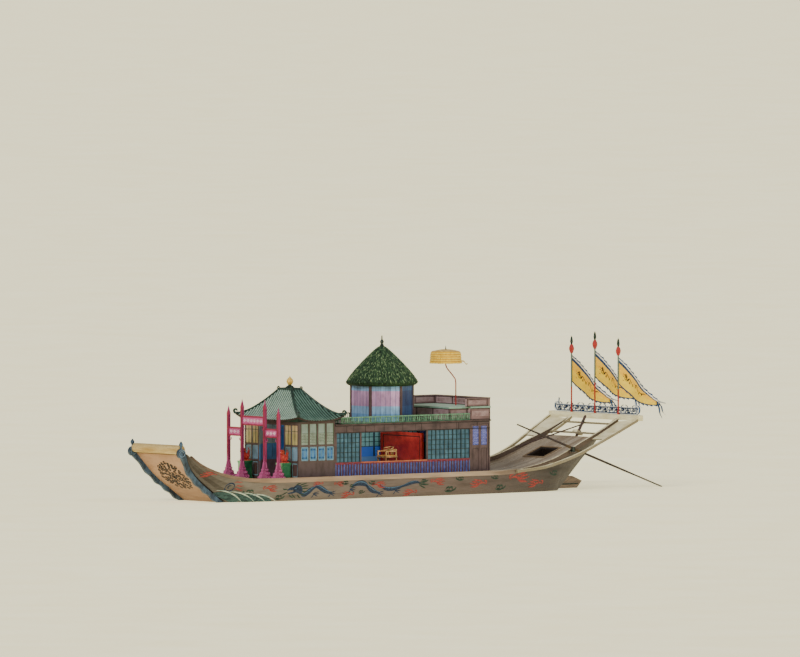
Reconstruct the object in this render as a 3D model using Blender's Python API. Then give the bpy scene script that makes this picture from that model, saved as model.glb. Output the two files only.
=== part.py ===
"""A ceremonial river barge: decked wooden hull, gateway, pavilion, cabin, tower and raised stern.

Metres, +X towards the bow, +Y to port, +Z up. The origin lies on the flat bottom at mid-length.
"""
import math

import bmesh
import bpy
import numpy as np
from mathutils import Matrix, Vector

SEAM = 0.0003
DECK = 1.22

# Heights of the upper works
FLOOR = DECK + SEAM
CABIN_TOP = 3.15
ROOF_THICK = 0.05
ROOF_TOP = CABIN_TOP + ROOF_THICK
PAVILION_TOP = 3.33
HOUSE_TOP = 3.62
TERRACE = 3.68

# Plan of the upper works
CABIN_HALF = 1.57
PAVILION_FORE = 4.78
CABIN_FORE = 3.13
CABIN_AFT = -3.88
WALL = 0.06
GATE_X = 5.59
TOWER_X = -0.20
TOWER_RADIUS = 1.13

# Stern structure
HULL_AFT = -8.85
BEAM_FORE = -9.85
BEAM_AFT = -10.05
BEAM_HALF = 2.60
BEAM_BASE = 3.01
BEAM_TOP = 3.21

# Hull lines: each pair is a distance along X and a value there
DECK_KNOTS = ((-9.9, 2.92), (-8.85, 2.42), (-8.0, 2.08), (-7.33, 1.80), (-6.5, 1.52), (-5.5, 1.32),
              (-4.6, DECK), (6.0, DECK), (6.95, 1.265), (7.6, 1.36),
              (8.2, 1.50), (8.75, 1.70), (9.2, 1.93), (9.75, 2.33))
KEEL_KNOTS = ((-8.85, 2.20), (-8.18, 1.50), (-7.26, 0.55), (-6.6, 0.0), (6.75, 0.0), (7.22, 0.22),
              (7.82, 0.55), (8.48, 1.0), (9.03, 1.4), (9.40, 1.77), (9.75, 2.29))
DECK_HALF_KNOTS = ((-9.9, 1.43), (-8.85, 1.50), (-7.5, 1.64), (-6.5, 1.75), (-5.0, 1.90), (-4.0, 1.94),
                   (0.0, 1.96), (4.0, 1.94), (6.0, 1.88), (7.4, 1.78), (8.0, 1.70), (8.75, 1.60),
                   (9.2, 1.56), (9.75, 1.53))
BOTTOM_HALF_KNOTS = ((-8.85, 1.38), (-7.3, 1.28), (-6.0, 1.38), (-3.0, 1.52), (2.0, 1.52), (5.0, 1.42),
                     (6.9, 1.25), (7.5, 1.19), (8.12, 1.16), (8.74, 1.18), (9.14, 1.22), (9.47, 1.30),
                     (9.75, 1.47))

# Sections of the raked bow, from the end of the flat bottom to the tip
BOW_STATIONS = np.linspace(6.75, 9.75, 16)
MIDDLE_STATIONS = np.linspace(-6.0, 6.0, 13)
STERN_STATIONS = np.linspace(HULL_AFT, -6.6, 9)
OPEN_STATIONS = (BEAM_FORE + SEAM, -9.6, -9.35, -9.1)
BULWARK_FORE = -5.0

CHEEK_INSET = 0.115
CHEEK_THICK = 0.12
BOARD_THICK = 0.03

# Rudder: its stock leans aft, and turns in a bearing on the lower cross plank
RUDDER_PIVOT = Vector((-9.13, 0.0, 2.53))
RUDDER_RAKE = math.radians(30)
STOCK_RADIUS = 0.05

# Sweep oar: pivots in a rowlock outboard of the port bulwark
SWEEP_PIVOT = Vector((-7.5, 1.76, 2.07))
SWEEP_YAW = math.radians(15)
SWEEP_DIP = math.radians(22.4)
SWEEP_OUTBOARD = 3.75
SWEEP_INBOARD = 2.35

# Door leaves at the aft end of each cabin side
DOOR_FORE = -3.03
DOOR_AFT = -3.82
DOOR_SILL = 1.27
DOOR_BASE = 1.31
DOOR_TOP = 3.04
LEAF_THICK = 0.04
LEAF_GAP = 0.006

POLE_X = -9.905
POLE_RADIUS = 0.028
POLE_HEIGHTS = {"port": 2.75, "middle": 2.95, "starboard": 2.75}
POLE_Y = {"port": 1.35, "middle": 0.0, "starboard": -1.35}
FLAG_HOIST = 0.98
FLAG_FLY = 1.90
FLAG_DROP = 1.56

PARASOL = Vector((-2.74, 0.45, 5.20))
PARASOL_RADIUS = 0.58

COLOURS = {
    "hull_paint": ((0.33, 0.20, 0.13), 0.6, 0.0),
    "bow_paint": ((0.57, 0.37, 0.22), 0.6, 0.0),
    "slate_paint": ((0.08, 0.13, 0.19), 0.5, 0.0),
    "pale_wood": ((0.62, 0.53, 0.33), 0.7, 0.0),
    "brown_wood": ((0.14, 0.08, 0.07), 0.6, 0.0),
    "deck_wood": ((0.30, 0.21, 0.13), 0.8, 0.0),
    "pink_paint": ((0.60, 0.10, 0.30), 0.5, 0.0),
    "green_paint": ((0.18, 0.42, 0.22), 0.5, 0.0),
    "red_paint": ((0.55, 0.05, 0.05), 0.5, 0.0),
    "tile": ((0.16, 0.36, 0.27), 0.4, 0.0),
    "gold": ((0.75, 0.60, 0.22), 0.3, 0.8),
    "blue_paint": ((0.16, 0.36, 0.58), 0.5, 0.0),
    "violet_paint": ((0.10, 0.12, 0.38), 0.5, 0.0),
    "thatch": ((0.06, 0.20, 0.05), 0.9, 0.0),
    "tower_paint": ((0.45, 0.28, 0.45), 0.6, 0.0),
    "dark_metal": ((0.05, 0.07, 0.06), 0.4, 0.6),
    "house_paint": ((0.45, 0.32, 0.31), 0.6, 0.0),
    "pale_green": ((0.40, 0.58, 0.43), 0.5, 0.0),
    "yellow_silk": ((0.85, 0.55, 0.10), 0.7, 0.0),
    "oar_wood": ((0.10, 0.07, 0.05), 0.6, 0.0),
}


# Making meshes

def clear_scene():
    """Remove whatever the file opened with."""
    for item in list(bpy.data.objects):
        bpy.data.objects.remove(item, do_unlink=True)


def paint(name):
    """The named material, made the first time that it is asked for."""
    found = bpy.data.materials.get(name)
    if found:
        return found
    colour, roughness, metallic = COLOURS[name]
    made = bpy.data.materials.new(name)
    made.use_nodes = True
    shader = made.node_tree.nodes["Principled BSDF"]
    shader.inputs["Base Color"].default_value = (*colour, 1.0)
    shader.inputs["Roughness"].default_value = roughness
    shader.inputs["Metallic"].default_value = metallic
    made.diffuse_color = (*colour, 1.0)
    return made


def new_piece(name, verts, faces, colour, smooth_angle=None):
    """An object with its faces turned outwards and its flat areas merged."""
    work = bmesh.new()
    corners = [work.verts.new(tuple(point)) for point in verts]
    for face in faces:
        work.faces.new([corners[index] for index in face])
    bmesh.ops.recalc_face_normals(work, faces=work.faces)
    mesh = bpy.data.meshes.new(name)
    work.to_mesh(mesh)
    work.free()
    mesh.materials.append(paint(colour))
    if smooth_angle is not None:
        mesh.shade_smooth()
        mesh.set_sharp_from_angle(angle=math.radians(smooth_angle))
    piece = bpy.data.objects.new(name, mesh)
    bpy.context.collection.objects.link(piece)
    return piece


def box_union(name, boxes, colour):
    """One closed body from overlapping or abutting boxes (x0, x1, y0, y1, z0, z1).

    Space is cut at every box face. Cells inside any box are solid, and the skin is each cell face
    with nothing on its other side.
    """
    cuts = [sorted({round(box[2 * axis + end], 6) for box in boxes for end in (0, 1)})
            for axis in range(3)]
    middles = [[(low + high) / 2 for low, high in zip(line, line[1:])] for line in cuts]
    solid = np.zeros([len(line) + 2 for line in middles], dtype=bool)
    for box in boxes:
        spans = []
        for axis in range(3):
            inside = [box[2 * axis] < middle < box[2 * axis + 1] for middle in middles[axis]]
            spans.append(np.flatnonzero(inside) + 1)
        solid[np.ix_(*spans)] = True
    steps = (((1, 0, 0), ((1, 0, 0), (1, 1, 0), (1, 1, 1), (1, 0, 1))),
             ((-1, 0, 0), ((0, 0, 0), (0, 0, 1), (0, 1, 1), (0, 1, 0))),
             ((0, 1, 0), ((0, 1, 0), (0, 1, 1), (1, 1, 1), (1, 1, 0))),
             ((0, -1, 0), ((0, 0, 0), (1, 0, 0), (1, 0, 1), (0, 0, 1))),
             ((0, 0, 1), ((0, 0, 1), (1, 0, 1), (1, 1, 1), (0, 1, 1))),
             ((0, 0, -1), ((0, 0, 0), (0, 1, 0), (1, 1, 0), (1, 0, 0))))
    numbers = {}
    faces = []
    for cell in np.argwhere(solid):
        for step, ring in steps:
            if solid[tuple(cell + step)]:
                continue
            keys = [tuple(cell - 1 + corner) for corner in ring]
            faces.append([numbers.setdefault(key, len(numbers)) for key in keys])
    verts = [[cuts[axis][key[axis]] for axis in range(3)] for key in numbers]
    piece = new_piece(name, verts, faces, colour)
    merge_flat(piece)
    return piece


def merge_flat(piece):
    """Join neighbouring faces that lie in one plane."""
    work = bmesh.new()
    work.from_mesh(piece.data)
    bmesh.ops.dissolve_limit(work, angle_limit=math.radians(0.1), verts=work.verts[:], edges=work.edges[:])
    bmesh.ops.triangulate(work, faces=[face for face in work.faces if len(face.verts) > 4])
    work.to_mesh(piece.data)
    work.free()


def loft(name, rings, colour, smooth_angle=None, loop=False):
    """A skin through equal rings of points; its ends are capped unless the rings close in a loop."""
    count = len(rings[0])
    verts = [point for ring in rings for point in ring]
    faces = []
    spans = len(rings) if loop else len(rings) - 1
    for row in range(spans):
        here = row * count
        there = (row + 1) % len(rings) * count
        for index in range(count):
            after = (index + 1) % count
            faces.append([here + index, here + after, there + after, there + index])
    if not loop:
        faces.append(list(range(count)))
        faces.append([(len(rings) - 1) * count + index for index in range(count)])
    return new_piece(name, verts, faces, colour, smooth_angle)


def turned(name, profile, colour, segments=16, smooth_angle=40):
    """A profile of (radius, height) pairs turned about Z; a radius of 0 is a point on the axis."""
    verts = []
    rows = []
    for radius, height in profile:
        start = len(verts)
        if radius == 0:
            verts.append((0, 0, height))
            rows.append([start] * segments)
            continue
        for step in range(segments):
            angle = math.tau * step / segments
            verts.append((radius * math.cos(angle), radius * math.sin(angle), height))
        rows.append([start + step for step in range(segments)])
    faces = []
    for low, high in zip(rows, rows[1:]):
        for step in range(segments):
            after = (step + 1) % segments
            ring = [low[step], low[after], high[after], high[step]]
            face = list(dict.fromkeys(ring))
            if len(face) > 2:
                faces.append(face)
    for row in (rows[0], rows[-1]):
        if row[0] != row[1]:
            faces.append(row)
    return new_piece(name, verts, faces, colour, smooth_angle)


def move(piece, matrix):
    """Place a piece by moving its mesh."""
    piece.data.transform(matrix)
    return piece


def fuse(base, *others):
    """Join pieces to the first one as a single closed body."""
    for other in others:
        join = base.modifiers.new("join", "BOOLEAN")
        join.operation = "UNION"
        join.solver = "EXACT"
        join.object = other
    return settle(base, others)


def settle(base, tools):
    """Keep the shape that the modifiers give, and remove the pieces that they used."""
    seen = base.evaluated_get(bpy.context.evaluated_depsgraph_get())
    mesh = bpy.data.meshes.new_from_object(seen)
    base.modifiers.clear()
    base.data = mesh
    while len(mesh.materials) > 1:
        mesh.materials.pop()
    for tool in tools:
        bpy.data.objects.remove(tool, do_unlink=True)
    return base


def smooth_line(knots):
    """A smooth function through (place, value) knots that never overshoots between them."""
    places = np.array([knot[0] for knot in knots])
    values = np.array([knot[1] for knot in knots])
    slopes = np.diff(values) / np.diff(places)
    tangents = np.zeros(len(knots))
    tangents[0] = slopes[0]
    tangents[-1] = slopes[-1]
    for index in range(1, len(knots) - 1):
        before, after = slopes[index - 1], slopes[index]
        if before * after > 0:
            tangents[index] = 2 * before * after / (before + after)

    def value(place):
        index = int(np.clip(np.searchsorted(places, place) - 1, 0, len(slopes) - 1))
        span = places[index + 1] - places[index]
        part = (place - places[index]) / span
        rise = part * part * (3 - 2 * part)
        return float(values[index] * (1 - rise) + values[index + 1] * rise
                     + tangents[index] * span * part * (1 - part) ** 2
                     - tangents[index + 1] * span * part * part * (1 - part))

    return value


deck_height = smooth_line(DECK_KNOTS)
keel_height = smooth_line(KEEL_KNOTS)
deck_half = smooth_line(DECK_HALF_KNOTS)
bottom_half = smooth_line(BOTTOM_HALF_KNOTS)


# Hull, bow and gunwales

def hull_section(place):
    """Points round the hull at one distance along X, from the port deck edge round the bottom."""
    top, low = deck_height(place), keel_height(place)
    bilge = min(0.14, 0.3 * (top - low))
    wide, narrow = deck_half(place), bottom_half(place)
    side = []
    for part in (0.0, 0.3, 0.6, 0.85):
        swell = 0.35 * part * (1 - part)
        side.append((wide + (narrow - wide) * (part - swell), top + (low + bilge - top) * part))
    side.append((narrow - 0.02, low + bilge * 0.55))
    side.append((narrow - 0.14, low))
    ring = [(place, y, z) for y, z in side]
    ring += [(place, -y, z) for y, z in reversed(side)]
    return ring


def make_hull():
    """The whole hull as a solid, with the hatch pocket let into the stern deck."""
    stations = [*STERN_STATIONS, *MIDDLE_STATIONS, *BOW_STATIONS]
    hull = loft("hull", [hull_section(place) for place in stations], "hull_paint", 35)
    slope = math.atan2(deck_height(-7.9) - deck_height(-7.1), 0.8)
    pocket = box_union("pocket", [(-0.40, 0.40, -0.55, 0.55, -0.35, 0.3)], "deck_wood")
    place = Matrix.Translation((-7.5, 0, deck_height(-7.5))) @ Matrix.Rotation(slope, 4, "Y")
    move(pocket, place)
    cut = hull.modifiers.new("hatch", "BOOLEAN")
    cut.operation = "DIFFERENCE"
    cut.solver = "EXACT"
    cut.object = pocket
    settle(hull, [pocket])


def gunwale_rise(place):
    """Height of the gunwale over the deck: full amidships, lower towards the bow."""
    return 0.16 - 0.08 * float(np.clip((place - 6.0) / 3.0, 0, 1))


def make_gunwales():
    """A plank standing on the deck's edge from the bow to the stern bulwark, one each side."""
    stations = [place for place in (*MIDDLE_STATIONS, *BOW_STATIONS[:-1]) if place >= BULWARK_FORE]
    for side, sign in (("port", 1), ("starboard", -1)):
        rings = []
        for place in stations:
            base = deck_height(place) + SEAM
            top = base + gunwale_rise(place)
            outer, inner = deck_half(place) + 0.02, deck_half(place) - 0.08
            rings.append([(place, sign * outer, base), (place, sign * outer, top),
                          (place, sign * inner, top), (place, sign * inner, base)])
        loft(f"gunwale_{side}", rings, "pale_wood")


def bow_profile(parts):
    """Stations up the bow face: x, z, the forward normal and the half width there."""
    levels = np.array([keel_height(place) for place in BOW_STATIONS])
    steps = np.linspace(1, len(BOW_STATIONS) - 1, (len(BOW_STATIONS) - 2) * parts + 1)
    order = np.arange(len(BOW_STATIONS))
    places = np.interp(steps, order, BOW_STATIONS)
    heights = np.interp(steps, order, levels)
    run, rise = np.gradient(places), np.gradient(heights)
    length = np.hypot(run, rise)
    halves = np.interp(places, BOW_STATIONS, [bottom_half(place) for place in BOW_STATIONS])
    return list(zip(places, heights, rise / length, -run / length, halves))


def make_bow_board():
    """The painted board that covers the raked bow face between the cheeks."""
    rings = []
    for x, z, across, down, half in bow_profile(3):
        if z < 0.12:
            continue
        half -= CHEEK_INSET + SEAM
        near = 2 * SEAM
        far = near + BOARD_THICK
        rings.append([(x + across * near, -half, z + down * near), (x + across * near, half, z + down * near),
                      (x + across * far, half, z + down * far), (x + across * far, -half, z + down * far)])
    loft("bow_board", rings, "bow_paint", 30)


def make_bow_cheeks():
    """Wavy boards along both edges of the bow face, with a scroll and a knob at the top."""
    stations = [spot for spot in bow_profile(3) if spot[1] > 0.3]
    lobes = 6
    for side, sign in (("port", 1), ("starboard", -1)):
        rings = []
        for index, (x, z, across, down, half) in enumerate(stations):
            part = index / (len(stations) - 1)
            wave = 0.022 * math.cos(math.tau * lobes * part)
            inner, outer = 2 * SEAM, 0.15 + wave + 0.04 * part
            near = sign * (half - CHEEK_INSET)
            far = sign * (half - CHEEK_INSET + CHEEK_THICK)
            face = inner + BOARD_THICK
            rings.append([(x + across * inner, near, z + down * inner),
                          (x + across * face, near, z + down * face),
                          (x + across * outer, near, z + down * outer),
                          (x + across * outer, far, z + down * outer),
                          (x + across * inner, far, z + down * inner)])
        cheek = loft(f"bow_cheek_{side}", rings, "slate_paint")
        x, z, across, down, half = stations[-1]
        middle = sign * (half - CHEEK_INSET + CHEEK_THICK / 2)
        half = CHEEK_THICK / 2 - SEAM
        centre = Vector((x + 0.12 * across - 0.14 * down, middle, z + 0.12 * down + 0.14 * across))
        scroll = turned("scroll", [(0.0, -half), (0.17, -half), (0.17, half), (0.0, half)], "slate_paint", 20)
        move(scroll, Matrix.Translation(centre) @ Matrix.Rotation(math.pi / 2, 4, "X"))
        knob = turned("knob", [(0.0, -0.2), (0.035, -0.2), (0.035, 0.17), (0.06, 0.20), (0.075, 0.25),
                               (0.055, 0.31), (0.02, 0.36), (0.0, 0.37)], "slate_paint", 12)
        move(knob, Matrix.Translation(centre + Vector((0, 0, 0.07))))
        fuse(cheek, scroll, knob)


def make_bow_roll():
    """The round log laid across the top of the bow, between the two scrolls."""
    x, z, across, down, half = bow_profile(1)[-1]
    half -= CHEEK_INSET + SEAM
    roll = turned("bow_roll", [(0.0, -half), (0.15, -half), (0.165, -half + 0.02), (0.165, half - 0.02),
                               (0.15, half), (0.0, half)], "pale_wood", 24, 50)
    move(roll, Matrix.Translation((x + 0.10, 0, z + 0.18)) @ Matrix.Rotation(math.pi / 2, 4, "X"))


# Stern

def bulwark_top(place):
    """Height of the inner bulwark's top edge."""
    return deck_height(place) + 0.15 + 0.02 * float(np.clip((-5.2 - place) / 3, 0, 1))


def make_stern_bulwarks():
    """Boards along the edges of the stern deck, carried on past the hull to the crossbeam."""
    stations = [*OPEN_STATIONS, *STERN_STATIONS, -6.0, BULWARK_FORE - SEAM]
    for side, sign in (("port", 1), ("starboard", -1)):
        rings = []
        for place in stations:
            base = deck_height(place) + SEAM
            outer, inner = deck_half(place), deck_half(place) - 0.09
            top = bulwark_top(place)
            rings.append([(place, sign * outer, base), (place, sign * outer, top),
                          (place, sign * inner, top), (place, sign * inner, base)])
        board = loft(f"stern_bulwark_{side}", rings, "pale_wood")
        if side == "port":
            x, y, z = SWEEP_PIVOT
            seat = box_union("seat", [(x - 0.07, x + 0.07, deck_half(x) - 0.05, y + 0.11, z - 0.17, z - 0.13)],
                             "pale_wood")
            fuse(board, seat)


OUTER_RAIL = ((-4.75, 2.02, 1.33), (-5.9, 2.02, 1.43), (-7.0, 2.08, 1.70), (-7.7, 2.17, 1.96),
              (-8.33, 2.27, 2.27), (-8.98, 2.40, 2.60), (BEAM_FORE + SEAM, 2.53, 3.04))


def make_stern_rails():
    """The outer rail of each quarter, which flares out to the crossbeam, with its wing of planks."""
    out_at = smooth_line([(x, y) for x, y, z in reversed(OUTER_RAIL)])
    up_at = smooth_line([(x, z) for x, y, z in reversed(OUTER_RAIL)])
    stations = np.linspace(OUTER_RAIL[0][0], OUTER_RAIL[-1][0], 20)
    for side, sign in (("port", 1), ("starboard", -1)):
        rings = []
        for place in stations:
            inner = max(out_at(place) - 0.05, deck_half(place) + 0.021)
            outer, low, high = inner + 0.10, up_at(place) - 0.05, up_at(place) + 0.05
            rings.append([(place, sign * inner, low), (place, sign * outer, low),
                          (place, sign * outer, high), (place, sign * inner, high)])
        rail = loft(f"stern_rail_{side}", rings, "pale_wood")
        rings = []
        for place in (*OPEN_STATIONS, *STERN_STATIONS[:2]):
            near = deck_half(place) + SEAM
            far = out_at(place)
            inner_z, outer_z = deck_height(place) + 0.05, up_at(place) - 0.01
            rings.append([(place, sign * near, inner_z - 0.025), (place, sign * near, inner_z + 0.015),
                          (place, sign * far, outer_z + 0.015), (place, sign * far, outer_z - 0.025)])
        wing = loft("wing", rings, "pale_wood")
        place, half = -6.45, 0.05
        height = deck_height(place - half) + 0.01
        knee = box_union("knee", [(place - half, place + half, deck_half(place + half) + 0.004, out_at(place),
                                   height, height + 0.06)], "pale_wood")
        if sign < 0:
            move(knee, Matrix.Scale(-1, 4, (0, 1, 0)))
            knee.data.flip_normals()
        fuse(rail, wing, knee)


def rudder_frame():
    """Matrix whose Z axis is the raked stock and whose origin is its pivot."""
    return Matrix.Translation(RUDDER_PIVOT) @ Matrix.Rotation(-RUDDER_RAKE, 4, "Y")


def make_stern_frame():
    """Crossbeam, two cross planks, the bearers under them and the rudder's bearing."""
    inner = deck_half(-9.3) - 0.12
    frame = box_union("stern_frame", [(BEAM_AFT, BEAM_FORE, -BEAM_HALF, BEAM_HALF, BEAM_BASE, BEAM_TOP)],
                      "pale_wood")
    parts = [box_union("upper", [(-9.66, -9.48, -inner, inner, 2.84, 2.90)], "pale_wood"),
             box_union("lower", [(-9.03, -8.90, -inner, inner, 2.51, 2.57)], "pale_wood")]
    for sign in (1, -1):
        rings = []
        for place, base in ((-8.92, 2.46), (-9.40, 2.70), (BEAM_AFT + 0.1, 3.05)):
            near, far = sign * (inner - 0.10), sign * (inner - 0.02)
            rings.append([(place, near, base), (place, near, base + 0.10),
                          (place, far, base + 0.10), (place, far, base)])
        parts.append(loft("bearer", rings, "pale_wood"))
    block = box_union("block", [(-0.13, 0.16, -0.14, 0.14, -0.045, 0.045)], "pale_wood")
    hole = turned("hole", [(0.0, -0.2), (STOCK_RADIUS + 0.012, -0.2), (STOCK_RADIUS + 0.012, 0.2), (0.0, 0.2)],
                  "pale_wood", 20)
    bore = block.modifiers.new("bore", "BOOLEAN")
    bore.operation = "DIFFERENCE"
    bore.solver = "EXACT"
    bore.object = hole
    settle(block, [hole])
    move(block, rudder_frame())
    fuse(frame, *parts, block)


def ribbon(points, width, x0, x1, name="ribbon"):
    """A flat strip of even width that follows (y, z) points, as thick as from x0 to x1."""
    spots = np.array(points)
    along = np.gradient(spots, axis=0)
    along /= np.linalg.norm(along, axis=1)[:, None]
    side = np.column_stack([-along[:, 1], along[:, 0]]) * width / 2
    rings = []
    for spot, out in zip(spots, side):
        rings.append([(x0, *(spot - out)), (x0, *(spot + out)), (x1, *(spot + out)), (x1, *(spot - out))])
    return loft(name, rings, "blue_paint")


def make_scroll_rail():
    """The fretted rail on the crossbeam: two bars, wave scrolls between them and curled ends."""
    x0, x1 = -10.035, -9.985
    half, base, top = 2.30, BEAM_TOP + SEAM, BEAM_TOP + 0.27
    bars = [(x0, x1, -half, half, base, base + 0.045), (x0, x1, -half, half, top - 0.035, top)]
    bars += [(x0, x1, y - 0.02, y + 0.02, base, top) for y in np.linspace(-half + 0.02, half - 0.02, 8)]
    rail = box_union("scroll_rail", bars, "blue_paint")
    scrolls = []
    for index in range(7):
        centre = -half + 0.02 + (index + 0.5) * (2 * half - 0.04) / 7
        turns = np.linspace(0, 1, 9)
        wave = [(centre + 0.31 * (2 * part - 1), base + 0.13 + 0.10 * math.sin(math.tau * part))
                for part in turns]
        scrolls.append(ribbon(wave, 0.035, x0 + 0.005, x1 - 0.005))
    for sign in (1, -1):
        angles = np.linspace(-0.5 * math.pi, 1.15 * math.pi, 13)
        curl = []
        for part, angle in zip(np.linspace(0, 1, 13), angles):
            size = 0.17 - 0.09 * part
            curl.append((sign * (half - 0.01 + size * math.cos(angle)), base + 0.205 + size * math.sin(angle)))
        scrolls.append(ribbon(curl, 0.05, x0 - 0.01, x1 + 0.01))
        horn = [(sign * (half - 0.05 - 0.05 * part), base + 0.28 + 0.20 * part) for part in (0.0, 0.5, 1.0)]
        scrolls.append(ribbon(horn, 0.045, x0 + 0.003, x1 - 0.003))
    fuse(rail, *scrolls)


def make_flagpoles():
    """Three poles stepped on the crossbeam, each with a tassel ball and a spear head."""
    for name, height in POLE_HEIGHTS.items():
        foot = SEAM
        profile = [(0.0, foot), (0.045, foot), (0.045, 0.05), (POLE_RADIUS, 0.07), (POLE_RADIUS, height - 0.62),
                   (0.04, height - 0.60), (0.085, height - 0.53), (0.095, height - 0.46),
                   (0.07, height - 0.38), (0.03, height - 0.34), (0.03, height - 0.31), (0.055, height - 0.22),
                   (0.035, height - 0.08), (0.0, height)]
        pole = turned(f"flagpole_{name}", profile, "red_paint", 8)
        move(pole, Matrix.Translation((POLE_X, POLE_Y[name], BEAM_TOP)))


def flag_point(name, across, along):
    """A point of a flag: across runs down the hoist from 0 to 1, along runs out to the tip."""
    top = BEAM_TOP + POLE_HEIGHTS[name] - 0.70
    width = FLAG_HOIST * (1 - along ** 2.2)
    x = POLE_X - POLE_RADIUS - SEAM - FLAG_FLY * along
    z = top - width * across - FLAG_DROP * along
    sway = 0.10 * math.sin(math.tau * 1.1 * along + 0.5) * min(1.0, 3 * along)
    return Vector((x, POLE_Y[name] + sway, z))


def make_flags():
    """Three-cornered silk flags that stream aft and droop, each a thin solid."""
    thick = 0.008
    for name in POLE_HEIGHTS:
        rings = []
        for along in np.linspace(0, 0.96, 13):
            edge = [flag_point(name, across, along) for across in np.linspace(0, 1, 5)]
            out = Vector((0, thick / 2, 0))
            rings.append([point - out for point in edge] + [point + out for point in reversed(edge)])
        loft(f"flag_{name}", rings, "yellow_silk")


# Gateway, pedestals and beasts

def make_gateway():
    """Four pointed posts with flared feet, a high board in the middle and a lower one each side."""
    posts = ((-1.45, 2.33), (-0.66, 2.58), (0.66, 2.58), (1.45, 2.33))
    base = deck_height(GATE_X) + SEAM
    thick = 0.045
    boxes = []
    for y, height in posts:
        boxes.append((GATE_X - thick, GATE_X + thick, y - thick, y + thick, base + 0.02, base + height))
    boards = ((-0.66, 0.66, 1.96, 2.30), (-1.45, -0.66, 1.56, 1.88), (0.66, 1.45, 1.56, 1.88))
    for near, far, low, high in boards:
        boxes.append((GATE_X - 0.02, GATE_X + 0.02, near, far, base + low + 0.03, base + high - 0.03))
        boxes.append((GATE_X - 0.035, GATE_X + 0.035, near, far, base + low, base + low + 0.05))
        boxes.append((GATE_X - 0.035, GATE_X + 0.035, near, far, base + high - 0.05, base + high))
    gate = box_union("gateway", boxes, "pink_paint")
    extras = []
    for y, height in posts:
        foot = turned("foot", [(0.0, 0.0), (0.28, 0.0), (0.28, 0.06), (0.20, 0.24), (0.13, 0.36),
                               (0.07, 0.68), (0.0, 0.68)], "pink_paint", 8)
        extras.append(move(foot, Matrix.Translation((GATE_X, y, base)) @ Matrix.Rotation(math.pi / 8, 4, "Z")))
        tip = turned("tip", [(0.0, -0.02), (0.072, -0.02), (0.072, 0.05), (0.04, 0.17), (0.0, 0.34)], "pink_paint", 8)
        extras.append(move(tip, Matrix.Translation((GATE_X, y, base + height - 0.02))))
    fuse(gate, *extras)


def ball(centre, size, name="ball", detail=2):
    """A rounded lump with three half-sizes."""
    work = bmesh.new()
    bmesh.ops.create_icosphere(work, subdivisions=detail, radius=1.0)
    bmesh.ops.scale(work, vec=size, verts=work.verts)
    bmesh.ops.translate(work, vec=centre, verts=work.verts)
    mesh = bpy.data.meshes.new(name)
    work.to_mesh(mesh)
    work.free()
    mesh.materials.append(paint("red_paint"))
    lump = bpy.data.objects.new(name, mesh)
    bpy.context.collection.objects.link(lump)
    return lump


def make_beasts():
    """A seated guardian beast on a boxed pedestal, each side of the pavilion's doorway."""
    x0, x1 = 4.93, 5.29
    for side, sign in (("port", 1), ("starboard", -1)):
        y = sign * 1.12
        base = deck_height(5.1) + SEAM * 2
        step = box_union(f"pedestal_{side}", [(x0, x1, y - 0.17, y + 0.17, base, base + 0.64),
                                              (x0 - 0.02, x1 + 0.02, y - 0.19, y + 0.19, base, base + 0.10),
                                              (x0 - 0.02, x1 + 0.02, y - 0.19, y + 0.19, base + 0.59, base + 0.66)],
                         "green_paint")
        top = base + 0.66 + SEAM
        centre = (x0 + x1) / 2
        body = box_union(f"beast_{side}", [(x0 + 0.02, x1 - 0.02, y - 0.11, y + 0.11, top, top + 0.04)], "red_paint")
        lumps = [ball((centre - 0.06, y, top + 0.15), (0.13, 0.095, 0.13), "haunch"),
                 ball((centre + 0.04, y, top + 0.20), (0.11, 0.085, 0.16), "chest"),
                 ball((centre + 0.09, y, top + 0.37), (0.10, 0.085, 0.095), "head"),
                 ball((centre + 0.17, y, top + 0.34), (0.055, 0.06, 0.05), "muzzle", 1),
                 ball((centre + 0.10, y + 0.06, top + 0.12), (0.04, 0.032, 0.10), "leg", 1),
                 ball((centre + 0.10, y - 0.06, top + 0.12), (0.04, 0.032, 0.10), "leg", 1),
                 ball((centre - 0.15, y, top + 0.27), (0.05, 0.03, 0.14), "tail", 1)]
        fuse(body, *lumps)


# Pavilion

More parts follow.
